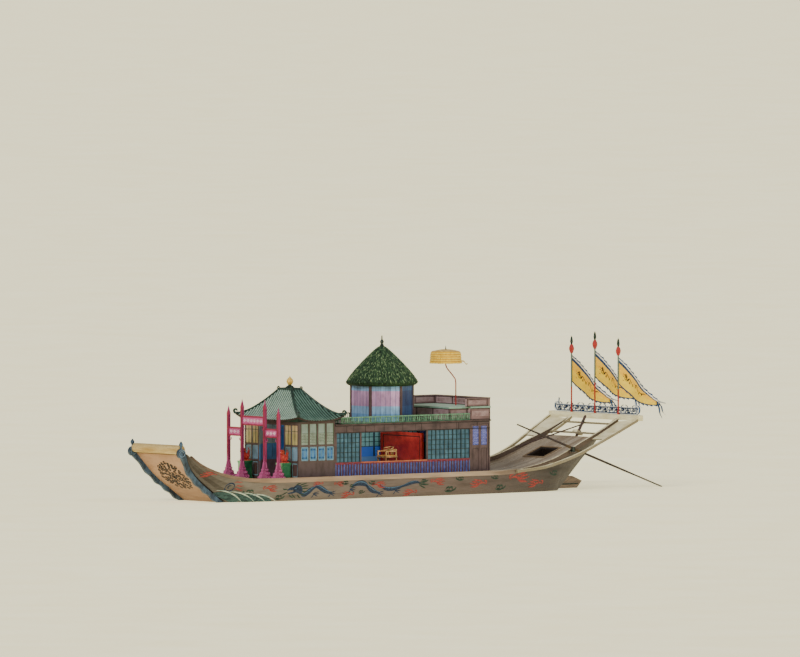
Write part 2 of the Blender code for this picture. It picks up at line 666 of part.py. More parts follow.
def make_pavilion_walls():
    """Post and panel walls: thick frames with thinner panels, and an open doorway in front."""
    low = FLOOR
    front = []
    x0, x1 = PAVILION_FORE - WALL, PAVILION_FORE
    for sign in (1, -1):
        near, far = 0.72, CABIN_HALF
        span = sorted((sign * near, sign * far))
        front.append((x0 + 0.02, x1 - 0.02, *span, low, PAVILION_TOP))
        for y in (near + 0.035, (near + far) / 2, far - 0.035):
            front.append((x0, x1, sign * y - 0.035, sign * y + 0.035, low, PAVILION_TOP))
        for base, top in ((low, 1.34), (1.87, 1.94), (2.44, 2.51), (3.25, PAVILION_TOP)):
            front.append((x0, x1, *span, base, top))
    front.append((x0, x1, -CABIN_HALF, CABIN_HALF, 3.20, PAVILION_TOP))
    box_union("pavilion_front", front, "brown_wood")
    for side, sign in (("port", 1), ("starboard", -1)):
        outer, inner = sign * CABIN_HALF, sign * (CABIN_HALF - WALL)
        skin = sorted((outer, inner))
        thin = sorted((outer - sign * 0.02, inner + sign * 0.02))
        aft, fore = CABIN_FORE, PAVILION_FORE - WALL - SEAM
        boxes = [(aft, fore, *thin, low, PAVILION_TOP), (aft, fore, *skin, low, 1.87)]
        for place in np.linspace(aft + 0.035, fore - 0.035, 5):
            boxes.append((place - 0.03, place + 0.03, *skin, low, PAVILION_TOP))
        for base, top in ((1.80, 1.94), (2.44, 2.51), (3.25, PAVILION_TOP)):
            boxes.append((aft, fore, *skin, base, top))
        box_union(f"pavilion_side_{side}", boxes, "brown_wood")
    inner = CABIN_HALF - WALL - SEAM
    screen = [(CABIN_FORE + 0.02, CABIN_FORE + 0.06, -inner, inner, low, PAVILION_TOP)]
    for y in (-inner + 0.035, -0.75, 0.0, 0.75, inner - 0.035):
        screen.append((CABIN_FORE + 0.003, CABIN_FORE + 0.08, y - 0.035, y + 0.035, low, PAVILION_TOP))
    for base, top in ((low, 1.34), (2.20, 2.27), (2.95, 3.02), (3.25, PAVILION_TOP)):
        screen.append((CABIN_FORE + 0.003, CABIN_FORE + 0.08, -inner, inner, base, top))
    box_union("inner_screen", screen, "blue_paint")


PAVILION_X = (PAVILION_FORE + CABIN_FORE) / 2
EAVE_HALF_X = (PAVILION_FORE - CABIN_FORE) / 2 + 0.17
EAVE_HALF_Y = CABIN_HALF + 0.20
PAVILION_RIDGE = 4.42


def pavilion_roof_point(around, up):
    """A point on the tiled roof: around runs 0 to 4 round its sides, up from 0 at the eave to 1."""
    side = int(around) % 4
    part = around - int(around)
    corners = ((1, 1), (-1, 1), (-1, -1), (1, -1))
    start, end = corners[side], corners[(side + 1) % 4]
    u = start[0] + (end[0] - start[0]) * part
    v = start[1] + (end[1] - start[1]) * part
    corner = abs(2 * part - 1) ** 3
    shrink = 1 - 0.80 * up
    lift = 0.15 * corner * (1 - up) ** 3
    reach = 1 + 0.02 * corner * (1 - up) ** 3
    climb = up ** 1.25
    z = PAVILION_TOP + 0.05 + (PAVILION_RIDGE - PAVILION_TOP - 0.05) * climb + lift
    return Vector((PAVILION_X + u * EAVE_HALF_X * shrink * reach, v * EAVE_HALF_Y * shrink * reach, z))


def make_pavilion_roof():
    """Concave hipped roof with lifted corners, on a flat ceiling board, and its ball finial."""
    steps = 24
    floor = PAVILION_TOP + SEAM
    under = []
    for index in range(steps):
        point = pavilion_roof_point(4 * index / steps, 0)
        under.append((PAVILION_X + (point.x - PAVILION_X) * 0.86, point.y * 0.91, floor))
    rings = [under]
    lip = [pavilion_roof_point(4 * index / steps, 0) - Vector((0, 0, 0.045)) for index in range(steps)]
    rings.append(lip)
    for up in np.linspace(0, 1, 8):
        rings.append([pavilion_roof_point(4 * index / steps, up) for index in range(steps)])
    top = PAVILION_RIDGE + 0.03
    rings.append([(PAVILION_X + (point.x - PAVILION_X) * 0.55, point.y * 0.45, top) for point in rings[-1]])
    loft("pavilion_roof", rings, "tile", 30)
    profile = [(0.0, SEAM), (0.16, SEAM), (0.17, 0.04), (0.12, 0.09), (0.07, 0.12), (0.06, 0.14), (0.10, 0.19),
               (0.125, 0.25), (0.11, 0.32), (0.06, 0.38), (0.02, 0.42), (0.0, 0.46)]
    move(turned("pavilion_finial", profile, "gold", 16), Matrix.Translation((PAVILION_X, 0, top)))


# Cabin

def lattice(x0, x1, y0, y1, z0, z1, columns, rows, bar=0.022):
    """Boxes for a window lattice of upright and level bars."""
    bars = []
    for index in range(1, columns):
        x = x0 + (x1 - x0) * index / columns
        bars.append((x - bar / 2, x + bar / 2, y0, y1, z0, z1))
    for index in range(1, rows):
        z = z0 + (z1 - z0) * index / rows
        bars.append((x0, x1, y0, y1, z - bar / 2, z + bar / 2))
    return bars


def make_cabin_walls():
    """Side walls with lattice windows, an open bay to port, and the doorway; then the aft wall."""
    sill, head = 1.80, 2.88
    for side, sign in (("port", 1), ("starboard", -1)):
        outer, inner = sign * CABIN_HALF, sign * (CABIN_HALF - WALL)
        full = sorted((outer, inner))
        back = sorted((inner, inner + sign * 0.03))
        bar = sorted((inner + sign * 0.015, inner + sign * 0.045))
        fore = CABIN_FORE - SEAM
        boxes = [(CABIN_AFT, fore, *full, FLOOR, DOOR_SILL),
                 (DOOR_FORE, fore, *back, FLOOR, sill),
                 (DOOR_FORE, fore, *full, sill, sill + 0.05),
                 (DOOR_FORE, fore, *full, head, CABIN_TOP - SEAM)]
        for x0, x1 in ((fore - 0.07, fore), (1.94, 2.01), (-1.06, -0.99), (DOOR_FORE, DOOR_FORE + 0.07),
                       (CABIN_AFT, DOOR_AFT)):
            boxes.append((x0, x1, *full, sill, CABIN_TOP - SEAM))
        for x0, x1 in ((DOOR_FORE, DOOR_FORE + 0.07), (CABIN_AFT, DOOR_AFT)):
            boxes.append((x0, x1, *full, FLOOR, CABIN_TOP - SEAM))
        boxes.append((DOOR_AFT, DOOR_FORE, *full, DOOR_TOP + 0.01, CABIN_TOP - SEAM))
        boxes += lattice(2.01, fore - 0.07, *bar, sill + 0.05, head, 3, 3)
        boxes += lattice(DOOR_FORE + 0.07, -1.06, *bar, sill + 0.05, head, 5, 3)
        if side == "starboard":
            boxes += lattice(-0.99, 1.94, *bar, sill + 0.05, head, 8, 3)
        box_union(f"cabin_wall_{side}", boxes, "brown_wood")
        near = inner + sign * (0.03 + SEAM)
        board = sorted((near, outer))
        slats = sorted((near, outer + sign * 0.012))
        panel = [(DOOR_FORE + 0.075, fore, *board, 1.275, sill - SEAM)]
        for index in range(25):
            x = DOOR_FORE + 0.10 + index * (fore - DOOR_FORE - 0.125) / 24
            panel.append((x - 0.018, x + 0.018, *slats, 1.275, sill - SEAM))
        box_union(f"baluster_panel_{side}", panel, "violet_paint")
    inner = CABIN_HALF - WALL - SEAM
    aft = [(CABIN_AFT + 0.02, CABIN_AFT + 0.045, -inner, inner, FLOOR, CABIN_TOP - SEAM)]
    for y in np.linspace(-inner + 0.035, inner - 0.035, 5):
        aft.append((CABIN_AFT, CABIN_AFT + WALL, y - 0.035, y + 0.035, FLOOR, CABIN_TOP - SEAM))
    for base, top in ((FLOOR, 1.34), (2.20, 2.27), (3.05, CABIN_TOP - SEAM)):
        aft.append((CABIN_AFT, CABIN_AFT + WALL, -inner, inner, base, top))
    box_union("cabin_wall_aft", aft, "brown_wood")


def make_cabin_roof():
    """The flat roof and the low fretted rail round its edge."""
    fore = CABIN_FORE - SEAM
    box_union("cabin_roof", [(CABIN_AFT - 0.03, fore, -CABIN_HALF - 0.03, CABIN_HALF + 0.03,
                              CABIN_TOP, ROOF_TOP)], "brown_wood")
    base, top = ROOF_TOP + SEAM, ROOF_TOP + 0.25
    x0, x1 = -2.96, 2.84
    outer, inner = CABIN_HALF, CABIN_HALF - 0.05
    boxes = []
    for sign in (1, -1):
        run = sorted((sign * outer, sign * inner))
        thin = sorted((sign * (outer - 0.01), sign * (inner + 0.01)))
        boxes.append((x0, x1, *run, base, base + 0.04))
        boxes.append((x0, x1, *run, top - 0.04, top))
        for x in np.linspace(x0 + 0.02, x1 - 0.025, 24):
            boxes.append((x - 0.02, x + 0.02, *thin, base, top))
    boxes.append((x1 - 0.05, x1, -outer, outer, base, base + 0.04))
    boxes.append((x1 - 0.05, x1, -outer, outer, top - 0.04, top))
    for y in np.linspace(-inner + 0.2, inner - 0.2, 11):
        boxes.append((x1 - 0.04, x1 - 0.01, y - 0.02, y + 0.02, base, top))
    box_union("roof_rail", boxes, "green_paint")


def make_furniture():
    """Dais, armchair and red screen, seen through the open bay."""
    base = FLOOR + SEAM
    box_union("dais", [(-0.95, 0.75, -0.55, 0.95, base, base + 0.34)], "brown_wood")
    seat = base + 0.34 + SEAM
    x, y = -0.20, 0.30
    boxes = [(x - 0.27, x + 0.27, y - 0.27, y + 0.27, seat + 0.34, seat + 0.40)]
    for dx in (-0.25, 0.21):
        for dy in (-0.25, 0.21):
            boxes.append((x + dx, x + dx + 0.04, y + dy, y + dy + 0.04, seat, seat + 0.58))
    boxes.append((x - 0.25, x + 0.25, y - 0.25, y - 0.21, seat + 0.54, seat + 0.58))
    boxes.append((x - 0.25, x + 0.25, y + 0.21, y + 0.25, seat + 0.54, seat + 0.58))
    boxes.append((x - 0.25, x - 0.21, y - 0.25, y + 0.25, seat + 0.54, seat + 0.64))
    boxes.append((x - 0.245, x - 0.215, y - 0.06, y + 0.06, seat + 0.38, seat + 0.60))
    box_union("armchair", boxes, "pale_wood")
    box_union("red_screen", [(-1.22, -1.18, -1.25, 1.02, base + 0.25, base + 1.50),
                             (-1.25, -1.15, -1.30, -1.22, base, base + 1.55),
                             (-1.25, -1.15, 1.00, 1.08, base, base + 1.55),
                             (-1.24, -1.16, -1.25, 1.05, base + 1.48, base + 1.55),
                             (-1.24, -1.16, -1.25, 1.05, base + 0.25, base + 0.32)], "red_paint")


# Tower, aft house and parasol

def hexagon(radius, height):
    """Corner points of the tower's plan, one corner to port."""
    points = []
    for index in range(6):
        angle = math.radians(30 + 60 * index)
        points.append((TOWER_X + radius * math.cos(angle), radius * math.sin(angle), height))
    return points


def make_tower():
    """Six board walls in a ring, a domed cone of thatch and a slim spire."""
    base, top = ROOF_TOP + SEAM, 4.46
    outer = [hexagon(TOWER_RADIUS, z) for z in (base, top)]
    inner = [hexagon(TOWER_RADIUS - 0.07, z) for z in (top, base)]
    wall = loft("tower_wall", [*outer, *inner], "tower_paint", loop=True)
    posts = []
    for x, y, z in hexagon(TOWER_RADIUS - 0.035, base):
        post = turned("post", [(0.0, 0.0), (0.06, 0.0), (0.06, top - base), (0.0, top - base)], "tower_paint", 8)
        posts.append(move(post, Matrix.Translation((x, y, z))))
    fuse(wall, *posts)
    eave, apex = top - 0.02, 5.86
    rings = []
    steps = 24
    for radius, height in ((TOWER_RADIUS - 0.13, top + SEAM), (1.08, top + SEAM), (1.14, top + 0.02),
                           (1.205, top + 0.07), (1.21, top + 0.14), (1.10, 4.80), (0.93, 5.03), (0.71, 5.28),
                           (0.47, 5.52), (0.28, 5.70), (0.13, 5.82), (0.05, apex)):
        ring = []
        for step in range(steps):
            angle = math.tau * step / steps
            sharp = math.cos(math.pi / 6) / math.cos((angle % (math.pi / 3)) - math.pi / 6)
            blend = float(np.clip((5.3 - height) / (5.3 - eave), 0, 1))
            size = radius * (1 + blend * 0.9 * (sharp / math.cos(math.pi / 6) - 1) * 0.5)
            turn = angle + math.radians(30)
            ring.append((TOWER_X + size * math.cos(turn), size * math.sin(turn), height))
        rings.append(ring)
    loft("tower_roof", rings, "thatch", 35)
    profile = [(0.0, SEAM), (0.07, SEAM), (0.08, 0.03), (0.045, 0.08), (0.06, 0.12), (0.075, 0.16), (0.05, 0.21),
               (0.025, 0.25), (0.02, 0.36), (0.0, 0.40)]
    move(turned("tower_spire", profile, "dark_metal", 12), Matrix.Translation((TOWER_X, 0, apex)))


def make_aft_house():
    """A low house on the aft part of the roof, with a terrace slab and a parapet on three sides."""
    base = ROOF_TOP + SEAM
    step, fore = -2.98, -2.15
    near, wide = CABIN_HALF - 0.16, CABIN_HALF
    wall = WALL
    boxes = [(fore - wall, fore, -near, near, base, HOUSE_TOP),
             (CABIN_AFT, CABIN_AFT + wall, -wide, wide, base, HOUSE_TOP)]
    for sign in (1, -1):
        boxes.append((step, fore, *sorted((sign * near, sign * (near - wall))), base, HOUSE_TOP))
        boxes.append((CABIN_AFT, step, *sorted((sign * wide, sign * (wide - wall))), base, HOUSE_TOP))
        boxes.append((step - wall, step, *sorted((sign * wide, sign * (near - wall))), base, HOUSE_TOP))
    box_union("aft_house_wall", boxes, "house_paint")
    low, high = HOUSE_TOP + SEAM, TERRACE
    box_union("aft_house_slab", [(step, fore + 0.05, -near - 0.05, near + 0.05, low, high),
                                 (CABIN_AFT - 0.02, step, -wide - 0.02, wide + 0.02, low, high)], "pale_green")
    foot, top, thick = TERRACE + SEAM, 3.99, 0.10
    sides = [(CABIN_AFT, CABIN_AFT + thick, -wide, wide, foot, top)]
    for sign in (1, -1):
        sides.append((CABIN_AFT, -2.82, *sorted((sign * wide, sign * (wide - thick))), foot, top))
        sides.append((CABIN_AFT, -2.82, *sorted((sign * (wide + 0.015), sign * (wide - thick - 0.015))),
                      top - 0.04, top))
    sides.append((CABIN_AFT - 0.015, CABIN_AFT + thick + 0.015, -wide, wide, top - 0.04, top))
    box_union("aft_parapet", sides, "house_paint")


def tube(name, points, radius, colour, sides=8):
    """A round bar of even thickness along a path, with flat ends."""
    spots = [Vector(point) for point in points]
    rings = []
    side = Vector((0, 1, 0))
    for index, spot in enumerate(spots):
        along = (spots[min(index + 1, len(spots) - 1)] - spots[max(index - 1, 0)]).normalized()
        side = (side - along * side.dot(along)).normalized()
        up = along.cross(side)
        ring = []
        for step in range(sides):
            angle = math.tau * step / sides
            ring.append(spot + radius * (side * math.cos(angle) + up * math.sin(angle)))
        rings.append(ring)
    return loft(name, rings, colour, 50)


def make_parasol():
    """The bent pole of the parasol, and its drum of silk with a short spike."""
    x, y, z = PARASOL
    foot = TERRACE + SEAM
    knots = smooth_line(((foot, x - 0.46), (4.55, x - 0.46), (4.80, x - 0.28), (5.0, x - 0.08), (5.15, x),
                         (z + 0.42, x)))
    levels = [foot, foot + 0.5, 4.5, 4.62, 4.74, 4.86, 4.98, 5.06, 5.15, 5.25, z + 0.42]
    tube("parasol_pole", [(knots(level), y, level) for level in levels], 0.022, "red_paint")
    top = z + 0.42 + SEAM
    profile = [(0.0, top), (0.48, top), (0.55, z), (PARASOL_RADIUS, z), (0.555, z + 0.16),
               (0.545, z + 0.33), (0.50, z + 0.44), (0.20, z + 0.49), (0.03, z + 0.51), (0.015, z + 0.62),
               (0.0, z + 0.64)]
    move(turned("parasol_canopy", profile, "yellow_silk", 18, 50), Matrix.Translation((x, y, 0)))


# Moving pieces

def pivot_empty(name, place):
    """An empty on a joint's axis."""
    empty = bpy.data.objects.new(name, None)
    empty.location = place
    bpy.context.collection.objects.link(empty)
    return empty


def make_rudder():
    """Blade, raked stock with its collar, and the tiller, turning as one about the stock."""
    top, low = 0.70, -2.45
    profile = [(0.0, low), (STOCK_RADIUS, low), (STOCK_RADIUS, 0.045 + SEAM), (0.10, 0.045 + SEAM),
               (0.10, 0.09), (STOCK_RADIUS, 0.10), (STOCK_RADIUS, top - 0.04), (0.035, top), (0.0, top)]
    stock = turned("rudder", profile, "oar_wood", 16)
    move(stock, rudder_frame())
    outline = [(-8.20, 1.03), (-8.86, 0.98), (-9.29, 0.80), (-9.02, 0.50), (-8.72, 0.13), (-7.82, 0.13)]
    rings = [[(x, y, z) for x, z in outline] for y in (-0.03, 0.03)]
    blade = loft("blade", rings, "oar_wood")
    head = rudder_frame() @ Vector((0, 0, 0.33))
    tiller = tube("tiller", [head + Vector((-0.08, 0, 0.02)), (-6.3, 0, 2.08)], 0.024, "oar_wood")
    fuse(stock, blade, tiller)
    stock.parent = pivot_empty("rudder_axis", RUDDER_PIVOT)
    stock.matrix_parent_inverse = Matrix.Translation(-RUDDER_PIVOT)


def make_sweep():
    """The rowlock's fork on its pin, and the long oar that pivots in it."""
    yaw = Matrix.Translation(SWEEP_PIVOT) @ Matrix.Rotation(math.pi - SWEEP_YAW, 4, "Z")
    seat = -0.13 + SEAM
    fork = box_union("rowlock", [(-0.05, 0.05, -0.075, 0.075, seat, seat + 0.035),
                                 (-0.04, 0.04, 0.048, 0.075, seat, 0.06),
                                 (-0.04, 0.04, -0.075, -0.048, seat, 0.06)], "dark_metal")
    move(fork, yaw)
    fork.parent = pivot_empty("rowlock_axis", SWEEP_PIVOT)
    fork.matrix_parent_inverse = Matrix.Translation(-SWEEP_PIVOT)
    shaft = [(0.0, -SWEEP_INBOARD), (0.025, -SWEEP_INBOARD), (0.028, -SWEEP_INBOARD + 0.5), (0.042, -0.2),
             (0.042, 0.9), (0.036, 2.2), (0.03, 2.6), (0.0, 2.6)]
    oar = turned("sweep", shaft, "oar_wood", 12)
    move(oar, Matrix.Rotation(math.pi / 2, 4, "Y"))
    collar = box_union("collar", [(-0.055, 0.055, -0.048 + SEAM, 0.048 - SEAM, -0.045, 0.045)], "oar_wood")
    rings = []
    for place, half in ((2.05, 0.03), (2.35, 0.055), (2.9, 0.085), (3.6, 0.10), (3.72, 0.095), (SWEEP_OUTBOARD, 0.07)):
        thick = 0.024 - 0.006 * (place - 2.05)
        rings.append([(place, -half, -thick), (place, half, -thick), (place, half, thick), (place, -half, thick)])
    blade = loft("blade", rings, "oar_wood")
    fuse(oar, collar, blade)
    move(oar, yaw @ Matrix.Rotation(SWEEP_DIP, 4, "Y"))
    oar.parent = pivot_empty("sweep_axis", SWEEP_PIVOT)
    oar.matrix_parent_inverse = Matrix.Translation(-SWEEP_PIVOT)


def make_doors():
    """Two leaves in each doorway: frame with two panels, hung on pintles at the outer edges."""
    middle = (DOOR_FORE + DOOR_AFT) / 2
    width = (DOOR_FORE - DOOR_AFT) / 2 - LEAF_GAP * 2
    for side, sign in (("port", 1), ("starboard", -1)):
        hinge_y = sign * (CABIN_HALF - WALL + 0.005)
        for end, hinge_x, reach in (("aft", middle - LEAF_GAP - width, 1), ("fore", middle + LEAF_GAP + width, -1)):
            skin = sorted((hinge_y, hinge_y + sign * LEAF_THICK))
            thin = sorted((hinge_y + sign * 0.012, hinge_y + sign * (LEAF_THICK - 0.012)))
            pin_x, pin_y = hinge_x + reach * LEAF_THICK / 2, hinge_y + sign * LEAF_THICK / 2
            edge = sorted((pin_x, hinge_x + reach * width))
            boxes = [(*edge, *thin, DOOR_BASE, DOOR_TOP)]
            stiles = ((edge[0], edge[0] + 0.05), (edge[1] - 0.05, edge[1]))
            boxes += [(*stile, *skin, DOOR_BASE, DOOR_TOP) for stile in stiles]
            for base, top in ((DOOR_BASE, DOOR_BASE + 0.09), (2.20, 2.30), (DOOR_TOP - 0.06, DOOR_TOP)):
                boxes.append((*edge, *skin, base, top))
            leaf = box_union(f"door_{side}_{end}", boxes, "brown_wood")
            heel = LEAF_THICK / 2 - 0.0001
            post = turned("post", [(0.0, DOOR_SILL + SEAM), (0.015, DOOR_SILL + SEAM), (0.015, DOOR_BASE + 0.005),
                                   (heel, DOOR_BASE + 0.005), (heel, DOOR_TOP - 0.005), (0.0, DOOR_TOP - 0.005)],
                          "brown_wood", 16)
            move(post, Matrix.Translation((pin_x, pin_y, 0)))
            fuse(leaf, post)
            spot = Vector((pin_x, pin_y, DOOR_BASE))
            leaf.parent = pivot_empty(f"door_{side}_{end}_axis", spot)
            leaf.matrix_parent_inverse = Matrix.Translation(-spot)


def main():
    """Build every piece of the barge."""
    clear_scene()
    make_hull()
    make_gunwales()
    make_bow_board()
    make_bow_cheeks()
    make_bow_roll()
    make_stern_bulwarks()
    make_stern_rails()
    make_stern_frame()
    make_scroll_rail()
    make_flagpoles()
    make_flags()
    make_gateway()
    make_beasts()
    make_pavilion_walls()
    make_pavilion_roof()
    make_cabin_walls()
    make_cabin_roof()
    make_furniture()
    make_tower()
    make_aft_house()
    make_parasol()
    make_rudder()
    make_sweep()
    make_doors()


main()
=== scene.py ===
"""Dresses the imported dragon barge: paint, joinery, tiles, thatch, silks and the studio round it."""

from functools import partial

import bpy
import numpy as np
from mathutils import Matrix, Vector


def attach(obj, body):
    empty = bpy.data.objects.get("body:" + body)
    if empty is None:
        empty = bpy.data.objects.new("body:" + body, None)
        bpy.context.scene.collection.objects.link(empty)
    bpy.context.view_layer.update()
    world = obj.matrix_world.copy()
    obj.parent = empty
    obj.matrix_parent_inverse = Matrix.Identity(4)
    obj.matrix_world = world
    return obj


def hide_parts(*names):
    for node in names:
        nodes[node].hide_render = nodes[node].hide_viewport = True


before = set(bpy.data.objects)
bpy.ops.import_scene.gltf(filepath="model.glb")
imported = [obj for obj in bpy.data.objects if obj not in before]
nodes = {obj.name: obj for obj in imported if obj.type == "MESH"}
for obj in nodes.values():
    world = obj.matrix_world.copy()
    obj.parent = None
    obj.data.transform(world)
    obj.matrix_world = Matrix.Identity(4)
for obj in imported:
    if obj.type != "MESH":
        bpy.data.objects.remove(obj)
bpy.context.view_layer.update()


# Camera
# It looks from ahead of the port beam, a little above the deck, from so far off that the barge is
# drawn nearly parallel, as the painter drew it.

WATERLINE = 0.55
PICTURE_ACROSS = 28.57
TURN_TO_BOW = np.radians(38.0)
CAMERA_RISE = np.radians(2.3)
CAMERA_AWAY = 900.0

look_at = Vector((-1.02, 0.0, 6.47))
away = Vector((np.sin(TURN_TO_BOW) * np.cos(CAMERA_RISE), np.cos(TURN_TO_BOW) * np.cos(CAMERA_RISE),
               np.sin(CAMERA_RISE)))
camera_lens = bpy.data.cameras.new("camera")
camera_lens.lens = 36.0 * CAMERA_AWAY / PICTURE_ACROSS
camera_lens.clip_start = 1.0
camera_lens.clip_end = 20000.0
camera = bpy.data.objects.new("camera", camera_lens)
camera.location = look_at + away * CAMERA_AWAY
camera.rotation_mode = "QUATERNION"
camera.rotation_quaternion = (-away).to_track_quat("-Z", "Y")
bpy.context.scene.collection.objects.link(camera)
bpy.context.scene.camera = camera


# Studio
# A pale floor level with the water, a wide soft sky and two broad suns: one from over the bow, which
# lights the end faces, and a weak one that opens the shadows on the port side. Two small lamps under
# the ceilings open the dark of the cabin's bay and of the pavilion's doorway.

FLOOR_REACH = 3000.0


def mesh_object(name, spots, faces, finish, smooth=True):
    """A mesh from an array of corner points and lists of the corners of each face, with one material."""
    mesh = bpy.data.meshes.new(name)
    mesh.from_pydata(np.asarray(spots, float).reshape(-1, 3), [], faces)
    mesh.polygons.foreach_set("use_smooth", np.full(len(mesh.polygons), smooth))
    mesh.materials.append(finish)
    mesh.update()
    piece = bpy.data.objects.new(name, mesh)
    bpy.context.scene.collection.objects.link(piece)
    return piece


def points(*parts):
    """Points from their coordinates, each a number or an array."""
    return np.stack(np.broadcast_arrays(*parts), axis=-1)


def new_finish(name, gloss=0.25):
    """An empty material with its shader and a place on the object in metres. Its gloss is low, as that
    of distemper paint."""
    finish = bpy.data.materials.new(name)
    finish.use_nodes = True
    shader = finish.node_tree.nodes["Principled BSDF"]
    shader.inputs["Specular IOR Level"].default_value = gloss
    place = finish.node_tree.nodes.new("ShaderNodeTexCoord").outputs["Object"]
    return finish, shader, place


def linear(tone):
    """The linear red, green, blue and alpha of a colour written as hex digits."""
    parts = np.array([int(tone[i:i + 2], 16) for i in (0, 2, 4)]) / 255.0
    return (*np.where(parts <= 0.04045, parts / 12.92, ((parts + 0.055) / 1.055) ** 2.4), 1.0)


def feed(node, inputs):
    """Gives a node its inputs, each a socket to link or a fixed value."""
    for name, value in inputs.items():
        if isinstance(value, bpy.types.NodeSocket):
            node.id_data.links.new(value, node.inputs[name])
        else:
            node.inputs[name].default_value = value


def wired(kind, inputs, **settings):
    """A new node with its inputs and settings, in the material of the first socket among the inputs."""
    socket = next(value for value in inputs.values() if isinstance(value, bpy.types.NodeSocket))
    node = socket.id_data.nodes.new(kind)
    for name, value in settings.items():
        setattr(node, name, value)
    feed(node, inputs)
    return node


def noise(place, stretch, scale, detail=4.0, rough=0.55):
    """Soft noise over the place, drawn out along the axes by the stretch; its value is about 0.5."""
    fit = wired("ShaderNodeMapping", {"Vector": place, "Scale": stretch})
    return wired("ShaderNodeTexNoise", {"Vector": fit.outputs["Vector"], "Scale": scale, "Detail": detail,
                                        "Roughness": rough}).outputs["Fac"]


def worn_finish(name, stretch, scale, detail=6.0, gloss=0.25):
    """An empty material with its shader, its place and the noise that wears it."""
    finish, shader, place = new_finish(name, gloss)
    return finish, shader, place, noise(place, stretch, scale, detail)


def ramp(value, stops, smooth="LINEAR"):
    """Colours along a value; each stop is a place from 0 to 1 and a colour in hex digits."""
    band = wired("ShaderNodeValToRGB", {"Fac": value})
    band.color_ramp.interpolation = smooth
    marks = band.color_ramp.elements
    while len(marks) < len(stops):
        marks.new(0.5)
    for mark, (spot, tone) in zip(marks, stops):
        mark.position = spot
        mark.color = linear(tone)
    return band.outputs["Color"]


def shades(value, dark, light, high=0.62, low=0.3):
    """Two colours with a soft step between them, from low to high along a value."""
    return ramp(value, ((low, dark), (high, light)))


def mixed(first, second, share, way="MIX"):
    """Two colours mixed by a share, each of them a socket or a fixed value."""
    return wired("ShaderNodeMix", {"Factor": share, "A": first, "B": second}, data_type="RGBA",
                 blend_type=way).outputs["Result"]


def sums(way, first, second=0.0, third=0.0, clamp=False):
    """One step of arithmetic on values, each a socket or a number."""
    return wired("ShaderNodeMath", {0: first, 1: second, 2: third}, operation=way,
                 use_clamp=clamp).outputs["Value"]


def parts_of(place):
    """The x, y and z of a vector socket."""
    return tuple(wired("ShaderNodeSeparateXYZ", {"Vector": place}).outputs)


def relief(shader, height, strength, distance):
    """Bumps the surface by a height value."""
    bump = wired("ShaderNodeBump", {"Strength": strength, "Distance": distance, "Height": height})
    feed(shader, {"Normal": bump.outputs["Normal"]})


floor_finish, shader, place = new_finish("floor_paper", 0.1)
paper = shades(noise(place, (1, 1, 1), 0.35, 3.0), "F3EBC0", "F7F0CA", 0.7)
feed(shader, {"Base Color": paper, "Emission Color": paper, "Emission Strength": 0.9, "Roughness": 0.9})
corners = FLOOR_REACH * np.array([(-1, -1), (1, -1), (1, 1), (-1, 1)])
mesh_object("floor", np.column_stack([corners, np.full(4, WATERLINE)]), [(0, 1, 2, 3)],
                     floor_finish, False)

sky = bpy.data.worlds.new("soft_sky")
sky.use_nodes = True
sky.node_tree.nodes["Background"].inputs["Color"].default_value = linear("F6F2E6")
sky.node_tree.nodes["Background"].inputs["Strength"].default_value = 0.45
bpy.context.scene.world = sky


def shine(name, lamp, toward, spot=(0, 0, 0)):
    """Hangs a lamp at a spot and aims it."""
    holder = bpy.data.objects.new(name, lamp)
    holder.location = spot
    holder.rotation_mode = "QUATERNION"
    holder.rotation_quaternion = Vector(toward).to_track_quat("-Z", "Y")
    bpy.context.scene.collection.objects.link(holder)
    return holder


for name, strength, spread, toward in (("bow_sun", 1.7, 20.0, (-0.80, -0.35, -0.62)),
                                       ("port_sun", 0.7, 40.0, (0.30, -0.90, -0.24))):
    sun = bpy.data.lights.new(name, "SUN")
    sun.energy = strength
    sun.angle = np.radians(spread)
    shine(name, sun, toward)
for name, watts, wide, spot, toward in (("cabin_lamp", 30.0, 1.6, (0.5, 1.25, 3.03), (0.0, -1.0, -0.45)),
                                        ("pavilion_lamp", 12.0, 1.0, (4.5, 0.0, 3.23),
                                         (-1.0, 0.0, -0.7))):
    panel = bpy.data.lights.new(name, "AREA")
    panel.energy = watts
    panel.shape = "RECTANGLE"
    panel.size = wide
    panel.size_y = 0.12
    shine(name, panel, toward, spot).visible_camera = False


# Hull
# A flat-bottomed plank hull with raked ends, painted a pinkish brown that greys towards the stern.
# Its downward faces carry painted shade. The deck is bare boards, and the hatch is let into its after
# part, its pocket painted near black as shade.

STRAKE = 0.21
DECK_BOARD = 0.17
HATCH_AT = -7.5
HATCH_DECK = 1.87
HATCH_DEPTH = 0.34
HATCH_RAKE = 0.375
HATCH_REACH = (0.55, 0.58)
DECK_KNOTS = ((-9.9, 2.92), (-8.85, 2.42), (-8.0, 2.08), (-7.33, 1.80), (-6.5, 1.52), (-5.5, 1.32),
              (-4.6, 1.22), (6.0, 1.22), (6.95, 1.265), (7.6, 1.36), (8.2, 1.50), (8.75, 1.70),
              (9.2, 1.93), (9.75, 2.33))
KEEL_KNOTS = ((-8.85, 2.20), (-8.18, 1.50), (-7.26, 0.55), (-6.6, 0.0), (6.75, 0.0), (7.22, 0.22),
              (7.82, 0.55), (8.48, 1.0), (9.03, 1.4), (9.40, 1.77), (9.75, 2.29))
DECK_HALF_KNOTS = ((-9.9, 1.43), (-8.85, 1.50), (-7.5, 1.64), (-6.5, 1.75), (-5.0, 1.90), (-4.0, 1.94),
                   (0.0, 1.96), (4.0, 1.94), (6.0, 1.88), (7.4, 1.78), (8.0, 1.70), (8.75, 1.60),
                   (9.2, 1.56), (9.75, 1.53))
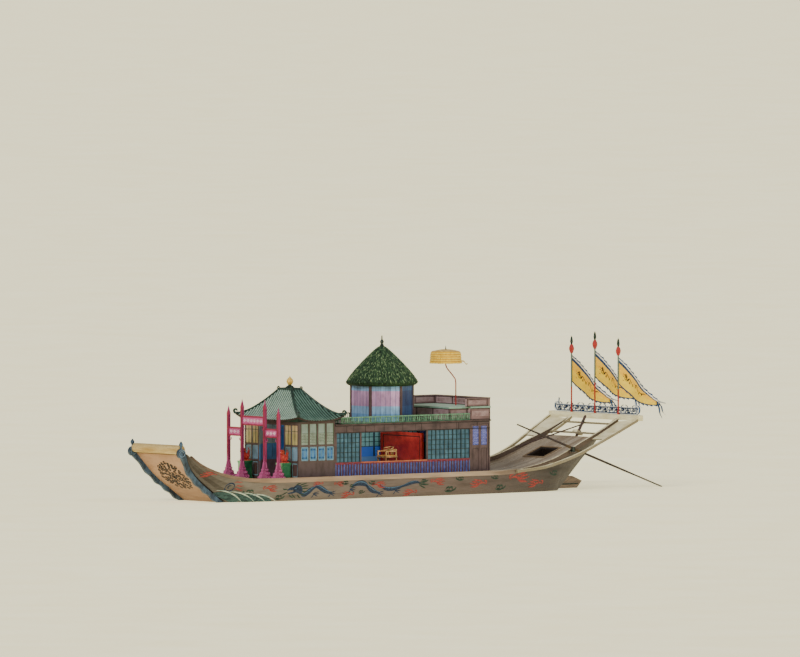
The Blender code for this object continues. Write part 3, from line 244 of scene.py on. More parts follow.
BOTTOM_HALF_KNOTS = ((-8.85, 1.38), (-7.3, 1.28), (-6.0, 1.38), (-3.0, 1.52), (2.0, 1.52), (5.0, 1.42),
                     (6.9, 1.25), (7.5, 1.19), (8.12, 1.16), (8.74, 1.18), (9.14, 1.22), (9.47, 1.30),
                     (9.75, 1.47))
BOW_STATIONS = np.linspace(6.75, 9.75, 16)
STATIONS = np.concatenate([np.linspace(-8.85, -6.6, 9), np.linspace(-6.0, 6.0, 13), BOW_STATIONS])


def fair_line(knots):
    """The monotone cubic through (place, value) pairs: each span is a cubic whose end slopes are the
    harmonic means of the slopes beside them, so it never swings past its pairs."""
    spots, values = np.array(knots, float).T
    slopes = np.diff(values) / np.diff(spots)
    before, after = slopes[:-1], slopes[1:]
    same = before * after > 0
    means = np.where(same, 2 * before * after / np.where(same, before + after, 1.0), 0.0)
    leans = np.concatenate([slopes[:1], means, slopes[-1:]])

    def value(place):
        span = np.clip(np.searchsorted(spots, place) - 1, 0, len(slopes) - 1)
        width = spots[span + 1] - spots[span]
        part = (place - spots[span]) / width
        rise = part * part * (3 - 2 * part)
        return (values[span] * (1 - rise) + values[span + 1] * rise + leans[span] * width * part
                * (1 - part) ** 2 - leans[span + 1] * width * part * part * (1 - part))

    return value


deck_height, keel_height = fair_line(DECK_KNOTS), fair_line(KEEL_KNOTS)
deck_half, bottom_half = fair_line(DECK_HALF_KNOTS), fair_line(BOTTOM_HALF_KNOTS)


def side_spot(x, z):
    """A point on the port side at x and z: on the straight line between the two corners of the hull's
    section that z lies between, which are themselves interpolated between the hull's stations."""
    top, low = deck_height(STATIONS), keel_height(STATIONS)
    bilge = np.minimum(0.14, 0.3 * (top - low))
    wide, narrow = deck_half(STATIONS), bottom_half(STATIONS)
    parts = np.array([0.0, 0.3, 0.6, 0.85])
    corner_y = [wide + (narrow - wide) * (part - 0.35 * part * (1 - part)) for part in parts]
    corner_z = [top + (low + bilge - top) * part for part in parts]
    corner_y.append(narrow - 0.02)
    corner_z.append(low + bilge * 0.55)
    corner_y = [np.interp(x, STATIONS, row) for row in corner_y]
    corner_z = [np.interp(x, STATIONS, row) for row in corner_z]
    y = corner_y[0] + 0.0 * z
    for k in range(4):
        part = np.clip((corner_z[k] - z) / (corner_z[k] - corner_z[k + 1]), 0, 1)
        y = np.where(z < corner_z[k], corner_y[k] + (corner_y[k + 1] - corner_y[k]) * part, y)
    return points(x, y, z)


def side_skin(x, z, lift):
    """side_spot moved out by lift along the cross product of the side's own two directions there."""
    along = side_spot(x + 0.04, z) - side_spot(x - 0.04, z)
    up = side_spot(x, z + 0.02) - side_spot(x, z - 0.02)
    out = np.cross(up, along)
    out *= np.sign(out[..., 1:2]) / np.linalg.norm(out, axis=-1, keepdims=True)
    return side_spot(x, z) + lift * out


# Steps of arithmetic on values: the first two give 1 or 0.
above, below = partial(sums, "GREATER_THAN"), partial(sums, "LESS_THAN")
times, minus, extent = partial(sums, "MULTIPLY"), partial(sums, "SUBTRACT"), partial(sums, "ABSOLUTE")


def within(value, middle, reach):
    """1 where a value is less than the reach away from the middle, and 0 elsewhere."""
    return below(extent(minus(value, middle)), reach)


def seam_lines(value, spacing, width):
    """1 on thin lines that repeat along a value in metres, and 0 between them."""
    return below(sums("FRACT", sums("DIVIDE", value, spacing)), width / spacing)


def board_tone(value, spacing):
    """A number from 0 to 1 that changes from one board to the next along a value in metres."""
    board = sums("FLOOR", sums("DIVIDE", value, spacing))
    return wired("ShaderNodeTexWhiteNoise", {"W": board}, noise_dimensions="1D").outputs["Value"]


def facing(place):
    """The x, y and z of the direction that the surface faces."""
    return parts_of(place.id_data.nodes.new("ShaderNodeNewGeometry").outputs["Normal"])


def faces_axis(place, axis, least):
    """1 on surfaces that face either way along an axis by more than the least share, and 0 elsewhere."""
    return above(extent(facing(place)[axis]), least)


def stained(tone, wear, dark, share=0.7, high=0.58):
    """A colour darkened in patches by the wear."""
    return mixed(tone, shades(wear, dark, "FFFFFF", high), share, "MULTIPLY")


def two_tone(wear, first, second, share, high=0.62):
    """The first dark and light pair where the share is 0, and the second where it is 1."""
    return mixed(shades(wear, *first, high), shades(wear, *second, high), share)


def coat(shader, tone, wear, rough, strength, depth, swing=0.3, height=None):
    """Puts a colour on the shader. The roughness rises from a base by the wear times the swing, and the
    height, which is the wear unless another is given, stands up by the strength and depth of a bump."""
    feed(shader, {"Base Color": tone, "Roughness": sums("MULTIPLY_ADD", wear, swing, rough)})
    relief(shader, wear if height is None else height, strength, depth)


def dress(finish, *names):
    """Gives solids of the frame their finish."""
    for name in names:
        nodes[name].data.materials.clear()
        nodes[name].data.materials.append(finish)


hull_finish, shader, place = new_finish("hull_paint")
x, y, z = parts_of(place)
toward_bow = sums("MULTIPLY_ADD", x, 1 / 16.0, 0.5, clamp=True)
side_tone = ramp(toward_bow, ((0.10, "463F3E"), (0.40, "6A5B57"), (0.70, "766963"), (1.0, "7C746C")))
weather = noise(place, (0.25, 1, 1.6), 2.2, 7.0, 0.65)
side_tone = mixed(side_tone, ramp(weather, ((0.30, "A89C92"), (0.52, "FFFFFF"), (0.75, "FFF0E0"))), 0.75,
                  "MULTIPLY")
# The side darkens towards the waterline.
near_waterline = sums("MULTIPLY_ADD", z, -7.0, 5.0, clamp=True)
side_tone = mixed(side_tone, linear("5C5248"), times(near_waterline, 0.35))
# Faces turned downward are darkened towards dark brown: painted shade under the hull.
under = sums("MULTIPLY_ADD", facing(place)[2], -4.0, -1.8, clamp=True)
side_tone = mixed(side_tone, linear("2E2620"), times(under, 0.85))
strakes = seam_lines(z, STRAKE, 0.012)
side_tone = mixed(side_tone, linear("54443A"), times(strakes, 0.30))
boards = seam_lines(y, DECK_BOARD, 0.010)
deck_grain = noise(place, (0.35, 4, 4), 5.0, 6.0)
deck_tone = shades(deck_grain, "9A8E7D", "C2B29C", 0.7)
deck_tone = mixed(deck_tone, ramp(board_tone(y, DECK_BOARD), ((0.0, "C8BCB0"), (1.0, "FFFFFF"))), 1.0,
                  "MULTIPLY")
deck_tone = mixed(deck_tone, linear("3E322A"), times(boards, 0.8))
# The hatch pocket below the deck is painted near black: painted shade in the recess.
over_hatch = sums("MULTIPLY_ADD", minus(HATCH_AT, x), HATCH_RAKE, HATCH_DECK - 0.06)
hatch_pocket_shade = within(x, HATCH_AT - 0.06, HATCH_REACH[0])
hatch_pocket_shade = times(hatch_pocket_shade, below(minus(z, over_hatch), 0.0))
hatch_pocket_shade = times(hatch_pocket_shade, above(minus(z, over_hatch), -HATCH_DEPTH))
hatch_pocket_shade = times(hatch_pocket_shade, below(extent(y), HATCH_REACH[1]))
deck_tone = mixed(deck_tone, linear("2E2620"), hatch_pocket_shade)
up_facing = above(facing(place)[2], 0.55)
feed(shader, {"Base Color": mixed(side_tone, deck_tone, sums("MAXIMUM", up_facing, hatch_pocket_shade)),
              "Roughness": shades(weather, "A8A8A8", "808080", 0.7)})
cuts = sums("ADD", times(strakes, minus(1.0, up_facing)), times(boards, up_facing))
relief(shader, sums("MULTIPLY_ADD", cuts, -1.0, times(deck_grain, 0.3)), 0.5, 0.01)
dress(hull_finish, "hull")


# Hatch coaming
# Four oiled boards laid flat on the stern deck round the hatch: the two across the barge run through,
# and the two along it are cut in between them.

COAMING_HALF = (0.46, 0.61)
COAMING_WIDTH = 0.06
COAMING_RISE = 0.035
HATCH_SLOPE = np.arctan2(float(deck_height(-7.9) - deck_height(-7.1)), 0.8)
BOX_SIDES = np.array([(0, 1, 3, 2), (4, 6, 7, 5), (0, 4, 5, 1), (2, 3, 7, 6), (0, 2, 6, 4), (1, 5, 7, 3)])


def brushed(name, light, dark, stretch=(1, 1, 1), scale=3.0, rough=0.6, depth=0.002):
    """Brushed paint or oiled wood: the tone wanders between two colours along the grain, finer streaks
    darken it, the sheen varies with them and they stand up a little."""
    finish, shader, place, broad = worn_finish(name, stretch, scale, 5.0)
    fine = noise(place, tuple(4.0 * part for part in stretch), scale * 3.0, 6.0, 0.65)
    tone = shades(broad, dark, light, 0.62, 0.34)
    tone = stained(tone, fine, "A9A29A", 0.55, 0.55)
    coat(shader, tone, fine, rough - 0.15, 0.35, depth)
    return finish


def boxes(name, bars, finish):
    """One mesh of square-cut bars, each given by two opposite corners."""
    bars = np.sort(np.asarray(bars, float), axis=1)
    pick = np.array([(i, j, k) for i in (0, 1) for j in (0, 1) for k in (0, 1)])
    faces = (8 * np.arange(len(bars)))[:, None, None] + BOX_SIDES
    return mesh_object(name, bars[:, :1] * (1 - pick) + bars[:, 1:] * pick, faces.reshape(-1, 4).tolist(),
                       finish, False)


a, b = COAMING_HALF
c, d = a - COAMING_WIDTH, b - COAMING_WIDTH
bars = np.array((((-a, -b, 0), (-c, b, 1)), ((c, -b, 0), (a, b, 1)), ((-c, -b, 0), (c, -d, 1)),
                 ((-c, d, 0), (c, b, 1))))
coaming_wood = brushed("coaming_wood", "9A8468", "75624D", (0.25, 1, 1))
coaming = boxes("hatch_coaming", bars * (1, 1, COAMING_RISE), coaming_wood)
x, y, z = np.array([corner.co for corner in coaming.data.vertices]).T
cosine, sine = np.cos(HATCH_SLOPE), np.sin(HATCH_SLOPE)
spots = points(x * cosine + z * sine + HATCH_AT, y, z * cosine - x * sine + float(deck_height(HATCH_AT)))
coaming.data.vertices.foreach_set("co", spots.ravel())
coaming.data.update()
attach(coaming, "barge")


# Painted ornament on the sides
# A blue dragon, a flaming pearl, red flames and dark green clouds, brushed on the planks of both sides,
# with carved and painted waves under the bow. Each brush stroke is a thin skin of paint.

PAINT_LIFT = 0.004
STROKE_STEPS = np.linspace(0, 1, 13)
CLOUD = (((-0.55, 0.00), (-0.45, 0.34), (-0.05, 0.36), (-0.05, 0.06)),
         ((-0.10, 0.02), (0.05, 0.42), (0.42, 0.30), (0.36, -0.02)),
         ((-0.70, -0.12), (-0.25, -0.26), (0.25, -0.26), (0.62, -0.06)),
         ((0.30, -0.10), (0.60, -0.12), (0.82, 0.02), (0.88, 0.24)),
         ((-0.30, 0.02), (-0.38, -0.16), (-0.05, -0.20), (0.02, 0.02)))
FLAME = (((-0.95, -0.10), (-0.45, 0.42), (-0.05, -0.42), (1.05, 0.06)),
         ((-0.50, 0.12), (-0.25, 0.42), (0.20, 0.20), (0.62, 0.46)),
         ((-0.20, -0.06), (0.10, -0.40), (0.50, -0.26), (0.92, -0.36)),
         ((-0.95, -0.10), (-1.15, 0.12), (-0.95, 0.34), (-0.70, 0.24)),
         ((0.00, 0.00), (0.30, 0.24), (0.55, 0.10), (0.85, 0.26)))
RED_MARKS = ((8.74, 1.58, 0.25), (6.20, 1.02, 0.30), (4.18, 1.13, 0.22), (3.20, 1.10, 0.22),
             (2.75, 0.70, 0.28), (1.40, 1.02, 0.30), (-0.05, 0.70, 0.30), (-1.25, 1.06, 0.32),
             (-3.10, 0.94, 0.36), (-5.00, 1.10, 0.46), (-5.85, 0.86, 0.36))
GREEN_MARKS = ((7.05, 0.90, 0.28), (5.75, 0.68, 0.26), (2.95, 1.14, 0.22), (2.62, 1.02, 0.17),
               (1.72, 1.10, 0.20), (2.15, 0.78, 0.18), (-2.25, 1.14, 0.24), (-1.85, 0.76, 0.32),
               (-3.85, 1.14, 0.22), (-4.15, 0.76, 0.30), (-6.75, 1.20, 0.28), (-0.60, 1.10, 0.20))


def grid_faces(rows, columns, count=1, wrap_rows=False, wrap_columns=False):
    """Corners of the squares of a grid of points, or of several like grids one after another."""
    i = np.arange(rows if wrap_rows else rows - 1)[:, None]
    j = np.arange(columns if wrap_columns else columns - 1)[None, :]
    up, right = (i + 1) % rows, (j + 1) % columns
    squares = np.stack([i * columns + j, i * columns + right, up * columns + right, up * columns + j],
                       axis=-1)
    shift = (rows * columns * np.arange(count))[:, None, None, None]
    return (squares[None] + shift).reshape(-1, 4).tolist()


def bezier(curves, t):
    """Points on cubic Bezier curves of four points each, at shares t of the way along."""
    weights = points((1 - t) ** 3, 3 * t * (1 - t) ** 2, 3 * t * t * (1 - t), t ** 3)
    return weights @ np.asarray(curves, float)


def brush(curves, widths, taper=0.75):
    """Brush strokes as grids: each follows the Bezier curve of its four points, and its half width is
    width / 2 times sin(pi t) to the power of taper, so that it thins out at both ends."""
    line = bezier(curves, STROKE_STEPS)
    run = np.gradient(line, axis=1)
    run /= np.linalg.norm(run, axis=-1, keepdims=True) + 1e-9
    side = points(-run[..., 1], run[..., 0])
    half = np.array(widths, float)[:, None] / 2 * np.sin(np.pi * (0.04 + 0.92 * STROKE_STEPS)) ** taper
    across = np.array([-1.0, 0.0, 1.0])
    return line[:, :, None] + side[:, :, None] * (half[..., None, None] * across[None, None, :, None])


def motif(marks, strokes, thickness):
    """Copies of a motif, each at (x, z, size), every second one turned to face the other way."""
    marks, strokes = np.array(marks), np.array(strokes)
    turn = np.where(np.arange(len(marks)) % 2, -1.0, 1.0)
    scale = points(marks[:, 2] * turn, marks[:, 2])
    curves = marks[:, None, None, :2] + strokes[None] * scale[:, None, None, :]
    widths = np.repeat(marks[:, 2] * thickness, len(strokes))
    return curves.reshape(-1, 4, 2), widths


def two_skins(name, port, starboard, finish):
    """Strokes facing port and the like ones facing starboard, as one piece."""
    skins = np.concatenate([port, starboard])
    faces = np.array(grid_faces(*skins.shape[1:3], len(skins)))
    first = skins.reshape(-1, 3)[faces[0]]
    if np.cross(first[1] - first[0], first[3] - first[0])[1] < 0:
        faces = faces[:, ::-1]
    piece = mesh_object(name, skins, faces.tolist(), finish)
    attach(piece, "barge")
    return piece


def painted_on(name, curves, widths, finish, lift=0.0):
    """Strokes in (x, z) laid on the port side and their mirror images on the starboard side."""
    strokes = brush(curves, widths)
    port = side_skin(strokes[..., 0], strokes[..., 1], PAINT_LIFT + lift)
    two_skins(name, port, port[:, :, ::-1] * (1, -1, 1), finish)


def brush_paint(name, light, dark, scale=14.0):
    """Thick brushed colour that breaks up from light to dark inside a stroke."""
    finish, shader, place, dabs = worn_finish(name, (1, 1, 2), scale, 3.0)
    coat(shader, shades(dabs, dark, light, 0.6, 0.38), dabs, 0.45, 0.3, 0.002)
    return finish


red_brush = brush_paint("flame_red", "A6463E", "7C2A2E")
green_brush = brush_paint("cloud_green", "33493C", "1B2A26")
blue_brush = brush_paint("dragon_blue", "2A3C58", "141E32", 18.0)
pale_brush = brush_paint("scale_pale", "5C7A98", "2A4662", 34.0)
painted_on("red_flames", *motif(RED_MARKS, FLAME, 0.17), red_brush)
painted_on("green_clouds", *motif(GREEN_MARKS, CLOUD, 0.24), green_brush)

pearl = np.array((7.85, 1.10))
ring = np.array((((-0.17, 0.0), (-0.17, 0.20), (0.14, 0.20), (0.14, 0.0)),
                 ((0.14, 0.0), (0.14, -0.19), (-0.17, -0.19), (-0.17, 0.0)),
                 ((-0.06, 0.05), (0.03, 0.10), (0.09, 0.0), (0.0, -0.05))))
painted_on("pearl_ring", pearl + ring, (0.055, 0.055, 0.04), blue_brush)
painted_on("pearl_flames",
           pearl + np.array((((-0.20, 0.02), (-0.32, 0.12), (-0.34, -0.02), (-0.50, 0.06)),
                             ((-0.20, -0.06), (-0.30, -0.02), (-0.38, -0.14), (-0.52, -0.10)),
                             ((-0.12, 0.16), (-0.22, 0.24), (-0.30, 0.14), (-0.42, 0.20)))),
           (0.04, 0.04, 0.035), red_brush)

BODY = (((4.86, 0.84), (4.62, 0.60), (4.52, 0.98), (4.22, 1.02)),
        ((4.30, 1.04), (4.02, 1.08), (3.86, 0.82), (3.46, 0.78)),
        ((2.62, 0.98), (2.40, 1.18), (2.05, 1.14), (1.90, 0.96)),
        ((2.02, 1.04), (1.78, 0.90), (1.70, 0.80), (1.30, 0.72)),
        ((1.34, 1.00), (1.05, 0.78), (0.62, 0.86), (0.30, 0.94)),
        ((0.42, 0.92), (0.10, 0.98), (-0.12, 1.16), (-0.46, 1.02)))
painted_on("dragon_body", BODY, (0.20, 0.17, 0.20, 0.17, 0.15, 0.13), blue_brush)
painted_on("dragon_back", np.array(BODY) + (0.0, 0.045), (0.035, 0.03, 0.035, 0.03, 0.03, 0.02),
           pale_brush, 0.002)
HEAD = (((5.46, 0.93), (5.34, 1.03), (5.18, 0.98), (4.98, 0.98)),
        ((5.42, 0.82), (5.30, 0.84), (5.16, 0.84), (5.00, 0.90)),
        ((5.24, 1.00), (5.08, 1.09), (4.90, 1.06), (4.80, 0.86)),
        ((5.20, 0.90), (5.05, 0.96), (4.92, 0.92), (4.82, 0.80)))
painted_on("dragon_head", HEAD, (0.11, 0.06, 0.16, 0.17), blue_brush, 0.003)
MANE = (((5.02, 1.02), (4.92, 1.16), (4.78, 1.14), (4.66, 1.18)),
        ((4.94, 1.00), (4.84, 1.10), (4.70, 1.06), (4.58, 1.10)),
        ((4.90, 0.94), (4.78, 1.02), (4.66, 0.96), (4.52, 1.00)),
        ((4.90, 0.86), (4.78, 0.92), (4.68, 0.84), (4.54, 0.88)),
        ((4.94, 0.80), (4.84, 0.82), (4.74, 0.72), (4.62, 0.74)),
        ((5.00, 0.78), (4.94, 0.74), (4.90, 0.66), (4.78, 0.64)),
        ((5.16, 1.04), (5.12, 1.14), (5.02, 1.18), (4.92, 1.17)),
        ((5.44, 0.94), (5.54, 1.02), (5.60, 0.92), (5.68, 1.02)),
        ((5.42, 0.88), (5.54, 0.86), (5.58, 0.76), (5.68, 0.78)),
        ((5.34, 0.80), (5.32, 0.72), (5.22, 0.70), (5.14, 0.66)),
        ((5.22, 0.80), (5.18, 0.72), (5.08, 0.70), (5.02, 0.64)))
painted_on("dragon_mane", MANE, np.full(len(MANE), 0.045), green_brush, 0.002)
CLAWS = np.array((((0.10, 0.00), (0.00, 0.06), (-0.08, 0.04), (-0.16, 0.08)),
                  ((0.10, 0.00), (0.00, 0.00), (-0.08, -0.02), (-0.18, 0.00)),
                  ((0.10, 0.00), (0.00, -0.05), (-0.06, -0.06), (-0.14, -0.10)),
                  ((0.06, 0.00), (0.06, -0.08), (0.10, -0.10), (0.14, -0.14))))
feet = np.array(((3.46, 0.78), (1.28, 0.72), (4.20, 0.78), (2.60, 0.90), (0.55, 0.80)))
painted_on("dragon_claws", (feet[:, None, None] + CLAWS).reshape(-1, 4, 2), np.full(4 * len(feet), 0.034),
           blue_brush, 0.001)
TAIL = np.array((((-0.40, 1.03), (-0.55, 1.10), (-0.66, 1.06), (-0.80, 1.14)),
                 ((-0.40, 1.00), (-0.56, 1.00), (-0.68, 0.96), (-0.84, 0.98)),
                 ((-0.40, 0.98), (-0.52, 0.92), (-0.62, 0.88), (-0.74, 0.84))))
painted_on("dragon_tail", TAIL, (0.06, 0.07, 0.05), green_brush, 0.001)
painted_on("dragon_eye", (((5.17, 0.985), (5.14, 1.005), (5.11, 1.005), (5.08, 0.985)),), (0.045,),
           pale_brush, 0.006)

WAVES = 4
wave_at = np.arange(WAVES)[:, None, None] * (-0.46, 0.0)
wave_shape = np.array((((8.22, 1.00), (7.92, 1.00), (7.52, 0.86), (7.20, 0.56)),)) + wave_at
wave_shape[..., 1] = 0.50 + (wave_shape[..., 1] - 0.50) * (1.0 - 0.11 * np.arange(WAVES))[:, None]
wave_dark = brush_paint("wave_dark", "3F5A58", "1D3336", 8.0)
wave_pale = brush_paint("wave_pale", "C6CEBE", "8AA09A", 8.0)
painted_on("bow_waves", wave_shape - (-0.06, 0.13), np.full(WAVES, 0.24), wave_dark)
painted_on("wave_crests", wave_shape, np.full(WAVES, 0.042), wave_pale, 0.002)


# Bow board and its medallion
# A peach-coloured board covers the raked bow between the cheeks, with a round of black cloud scrolls
# brushed on it.

CHEEK_INSET = 0.115
BOARD_FACE = 0.0306
MEDALLION_HEIGHT = 1.47
MEDALLION_RADIUS = 0.68


def walked(x, z):
    """How far along a line each of its points is, from its first."""
    return np.concatenate([[0], np.cumsum(np.hypot(np.diff(x), np.diff(z)))])


def bow_line(distance):
    """The middle line of the bow face at distances up it in metres: x, z and the outward normal, from the
    keel curve sampled at the bow stations and measured along its length."""
    fine = np.interp(np.linspace(0, len(BOW_STATIONS) - 1, 300), np.arange(len(BOW_STATIONS)),
                     BOW_STATIONS)
    level = np.interp(fine, BOW_STATIONS, keel_height(BOW_STATIONS))
    length = walked(fine, level)
    x, z = np.interp(distance, length, fine), np.interp(distance, length, level)
    near, far = distance - 0.12, distance + 0.12
    run = np.interp(far, length, fine) - np.interp(near, length, fine)
    rise = np.interp(far, length, level) - np.interp(near, length, level)
    size = np.hypot(run, rise)
    return x, z, rise / size, -run / size


def bow_skin(across, up, lift):
    """A point of the bow board: across is y, up is the distance up the face, lift stands off the board."""
    x, z, out_x, out_z = bow_line(up)
    reach = BOARD_FACE + lift
    return points(x + out_x * reach, across, z + out_z * reach)


peach_finish, shader, place, grain = worn_finish("peach_board", (1, 0.4, 1), 3.5)
x, y, z = parts_of(place)
tone = shades(grain, "A67E5F", "BE9677", 0.66, 0.32)
low = sums("MULTIPLY_ADD", z, -0.8, 1.3, clamp=True)
tone = mixed(tone, linear("52473B"), times(low, 0.6))
joints = seam_lines(sums("ADD", y, 10.0), 0.31, 0.008)
tone = mixed(tone, linear("8E6F56"), times(joints, 0.45))
feed(shader, {"Base Color": tone, "Roughness": 0.6})
relief(shader, sums("MULTIPLY_ADD", joints, -1.0, grain), 0.35, 0.004)
dress(peach_finish, "bow_board")

ink = brush_paint("scroll_ink", "241E1A", "100D0B", 30.0)
keel = keel_height(BOW_STATIONS)
face_height = np.interp(MEDALLION_HEIGHT, keel, walked(BOW_STATIONS, keel))
ring_sizes, ring_counts = (0.10, 0.27, 0.44, 0.60, 0.74), (4, 8, 13, 18, 22)
turn = np.concatenate([2 * np.pi * (np.arange(n) + 0.35 * k) / n for k, n in enumerate(ring_counts)])
out = np.repeat(ring_sizes, ring_counts) * MEDALLION_RADIUS / ring_sizes[-1]
wander = np.sin(37.0 * turn + 11.0 * out)
out = out - 0.025 + 0.03 * wander
turn = turn + 0.10 * np.cos(23.0 * turn + 5.0 * out)
spin = turn + 1.9 * wander
CURL = np.array(((-0.062, -0.02), (-0.030, 0.068), (0.062, 0.058), (0.050, -0.026)))
TOUCH = np.array(((-0.055, -0.030), (-0.02, -0.058), (0.02, -0.056), (0.058, -0.042)))
c, s = np.cos(spin)[:, None, None], np.sin(spin)[:, None, None]
centres = points(out * np.cos(turn), out * np.sin(turn))[:, None]
scrolls = []
for shape in (CURL, TOUCH):
    scrolls.append(centres
                   + np.concatenate([c * shape[:, :1] - s * shape[:, 1:],
                                     s * shape[:, :1] + c * shape[:, 1:]], axis=-1))
strokes = brush(np.concatenate(scrolls),
                np.concatenate([np.full(len(out), 0.078), np.full(len(out), 0.055)]), 0.5)
skins = bow_skin(strokes[..., 0], face_height + strokes[..., 1], 0.003)
faces = [face[::-1] for face in grid_faces(*skins.shape[1:3], len(skins))]
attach(mesh_object("bow_medallion", skins, faces, ink), "barge")


# Bow cheeks and roll
# Thick wavy boards edge the bow face, slate blue with a paler rim, and a round log lies across the top
# between their scrolls.

dress(brushed("slate_paint", "4C6378", "26323E", (1, 1, 0.6), 5.0, 0.5, 0.004), "bow_cheek_port",
      "bow_cheek_starboard")
dress(brushed("log_wood", "D9BE82", "B5904E", (1, 0.12, 1), 6.0, 0.55, 0.003), "bow_roll")


def tubes(name, paths, radii, finish, sides=8, smooth=True):
    """Round bars along paths: path k's ring i lies square to the path there, in two directions made by
    crossing the path's own direction with a fixed one, and flat ends close it."""
    paths = np.asarray(paths, float)
    count, steps = paths.shape[:2]
    radii = np.broadcast_to(np.asarray(radii, float), (count, steps))
    along = np.gradient(paths, axis=1)
    along /= np.linalg.norm(along, axis=-1, keepdims=True)
    mean = np.abs(along).mean(axis=1)
    fixed = np.eye(3)[np.argmin(mean, axis=1)][:, None]
    side = np.cross(along, fixed)
    side /= np.linalg.norm(side, axis=-1, keepdims=True)
    over = np.cross(along, side)
    turn = 2 * np.pi * np.arange(sides) / sides
    ring = side[:, :, None] * np.cos(turn)[:, None] + over[:, :, None] * np.sin(turn)[:, None]
    spots = paths[:, :, None] + ring * radii[:, :, None, None]
    faces = grid_faces(steps, sides, count, wrap_columns=True)
    first = (steps * sides * np.arange(count))[:, None] + np.arange(sides)
    faces += first[:, ::-1].tolist() + (first + (steps - 1) * sides).tolist()
    return mesh_object(name, spots, faces, finish, smooth)


CHEEK_SCROLL = (9.927, 2.343)

rim_turns = np.linspace(0.0, 2 * np.pi * 1.35, 30)
rims = []
for sign in (1, -1):
    for face_side in (-0.062, 0.062):
        size = 0.150 - 0.075 * rim_turns / rim_turns[-1]
        middle = sign * (float(bottom_half(9.75)) - CHEEK_INSET + 0.06) + face_side
        rims.append(points(CHEEK_SCROLL[0] + size * np.cos(rim_turns + 0.6), middle,
                           CHEEK_SCROLL[1] + size * np.sin(rim_turns + 0.6)))
rim_finish = brushed("slate_rim", "8FA6B8", "5E7890", (1, 1, 1), 6.0, 0.5)
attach(tubes("cheek_scrolls", rims, 0.010, rim_finish, 6), "barge")


# Gunwales, bulwarks and stern timbers
# Planed boards cap the hull's edge, brown at the bow and cream aft. The stern's bulwarks, flared outer
# rails, cross planks and crossbeam are softwood left nearly bare, joined with wooden pegs. Aft, the sides
# of the boards and of the stern timbers, and the undersides of the timbers, are painted dark as shade.

BEAM_TOP = 3.21
BEAM_FORE = -9.84
PEG_RADIUS = 0.016

rail_finish, shader, place = new_finish("rail_paint")
x, y, z = parts_of(place)
toward_bow = sums("MULTIPLY_ADD", x, 1 / 20.0, 0.5, clamp=True)
grain = noise(place, (0.2, 2, 2), 4.0, 6.0)
top_tone = ramp(toward_bow, ((0.02, "F6EFCA"), (0.26, "EADDB4"), (0.50, "D8C4A4"), (0.80, "A98D74"),
                             (1.0, "5E4A3E")))
# Faces that do not point up take the edge colours: brown like the tops at the bow, and aft far darker than
# the cream tops, which is painted shade on the boards' sides.
edge_colour_and_shade = ramp(toward_bow, ((0.02, "5E5046"), (0.25, "6A5A4E"), (0.34, "B8A08A"), (0.80, "A98D74"),
                              (1.0, "54423A")))
tone = mixed(edge_colour_and_shade, top_tone, above(facing(place)[2], 0.5))
tone = stained(tone, grain, "BDB3A6", 0.7, 0.6)
coat(shader, tone, grain, 0.45, 0.35, 0.003)
dress(rail_finish, "gunwale_port", "gunwale_starboard", "stern_bulwark_port", "stern_bulwark_starboard")

cream_finish, shader, place, grain = worn_finish("cream_timber", (0.35, 0.35, 1.5), 5.0)
tone = shades(grain, "DACD9C", "FBF3CC")
# Sides forward of the crossbeam and all undersides are painted dark brown as shade.
upward = facing(place)[2]
shaded_side = times(below(upward, 0.35), above(parts_of(place)[0], BEAM_FORE))
shaded_face = sums("MAXIMUM", shaded_side, below(upward, -0.3))
tone = mixed(tone, linear("5E4E3E"), times(shaded_face, 0.8))
coat(shader, tone, grain, 0.45, 0.35, 0.003)
dress(cream_finish, "stern_frame", "stern_rail_port", "stern_rail_starboard")

peg_finish = brushed("peg_wood", "8C7A5E", "5C4C3A", (1, 1, 1), 30.0, 0.6)
peg_spots = np.array([(x, y, BEAM_TOP) for x in (-9.90, -10.0) for y in np.linspace(-2.48, 2.48, 13)])
peg_spots = np.concatenate([peg_spots,
                            [(x, y, z) for x, z in ((-9.52, 2.90), (-9.62, 2.90), (-8.93, 2.57),
                                                    (-9.0, 2.57)) for y in (-1.22, -0.6, 0.6, 1.22)]])
pegs = tubes("stern_pegs", peg_spots[:, None] + np.array([(0, 0, -0.004), (0, 0, 0.002), (0, 0, 0.008)]),
             PEG_RADIUS, peg_finish, 6, False)
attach(pegs, "barge")

lines = []
for sign in (1, -1):
    for x_at in np.linspace(-8.6, -5.3, 9):
        lines.append([(x_at, sign * (float(deck_half(x_at)) - 0.045),
                       float(deck_height(x_at)) + 0.145 + step) for step in (0.0, 0.012, 0.024)])
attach(tubes("bulwark_pegs", lines, 0.013, peg_finish, 6, False), "barge")


# Scroll rail
# A fretted board stands on the crossbeam, white on its faces and blue on its sawn edges, with blue
# scrolls carved on both faces and small hooks cut along its top.

RAIL_HALF = 2.30
RAIL_TOP = 3.48

fret_finish, shader, place, wear = worn_finish("fret_paint", (1, 1, 1), 9.0, 5.0)
ahead = faces_axis(place, 0, 0.7)
white = shades(wear, "BFCBD2", "F2F3EE", 0.6)
blue = shades(wear, "1E3C66", "2F5788", 0.65)
coat(shader, mixed(blue, white, ahead), wear, 0.4, 0.2, 0.001, swing=0.2)
dress(fret_finish, "scroll_rail")

fret_blue = brush_paint("fret_blue", "264670", "14274A", 12.0)
across = np.linspace(-RAIL_HALF, RAIL_HALF, 60)
edges = [points(x_at, across, z_at) for x_at in (-9.984, -10.036)
         for z_at in (BEAM_TOP + 0.048, RAIL_TOP - 0.037)]
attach(tubes("scroll_rail_edges", edges, 0.018, fret_blue, 6), "barge")

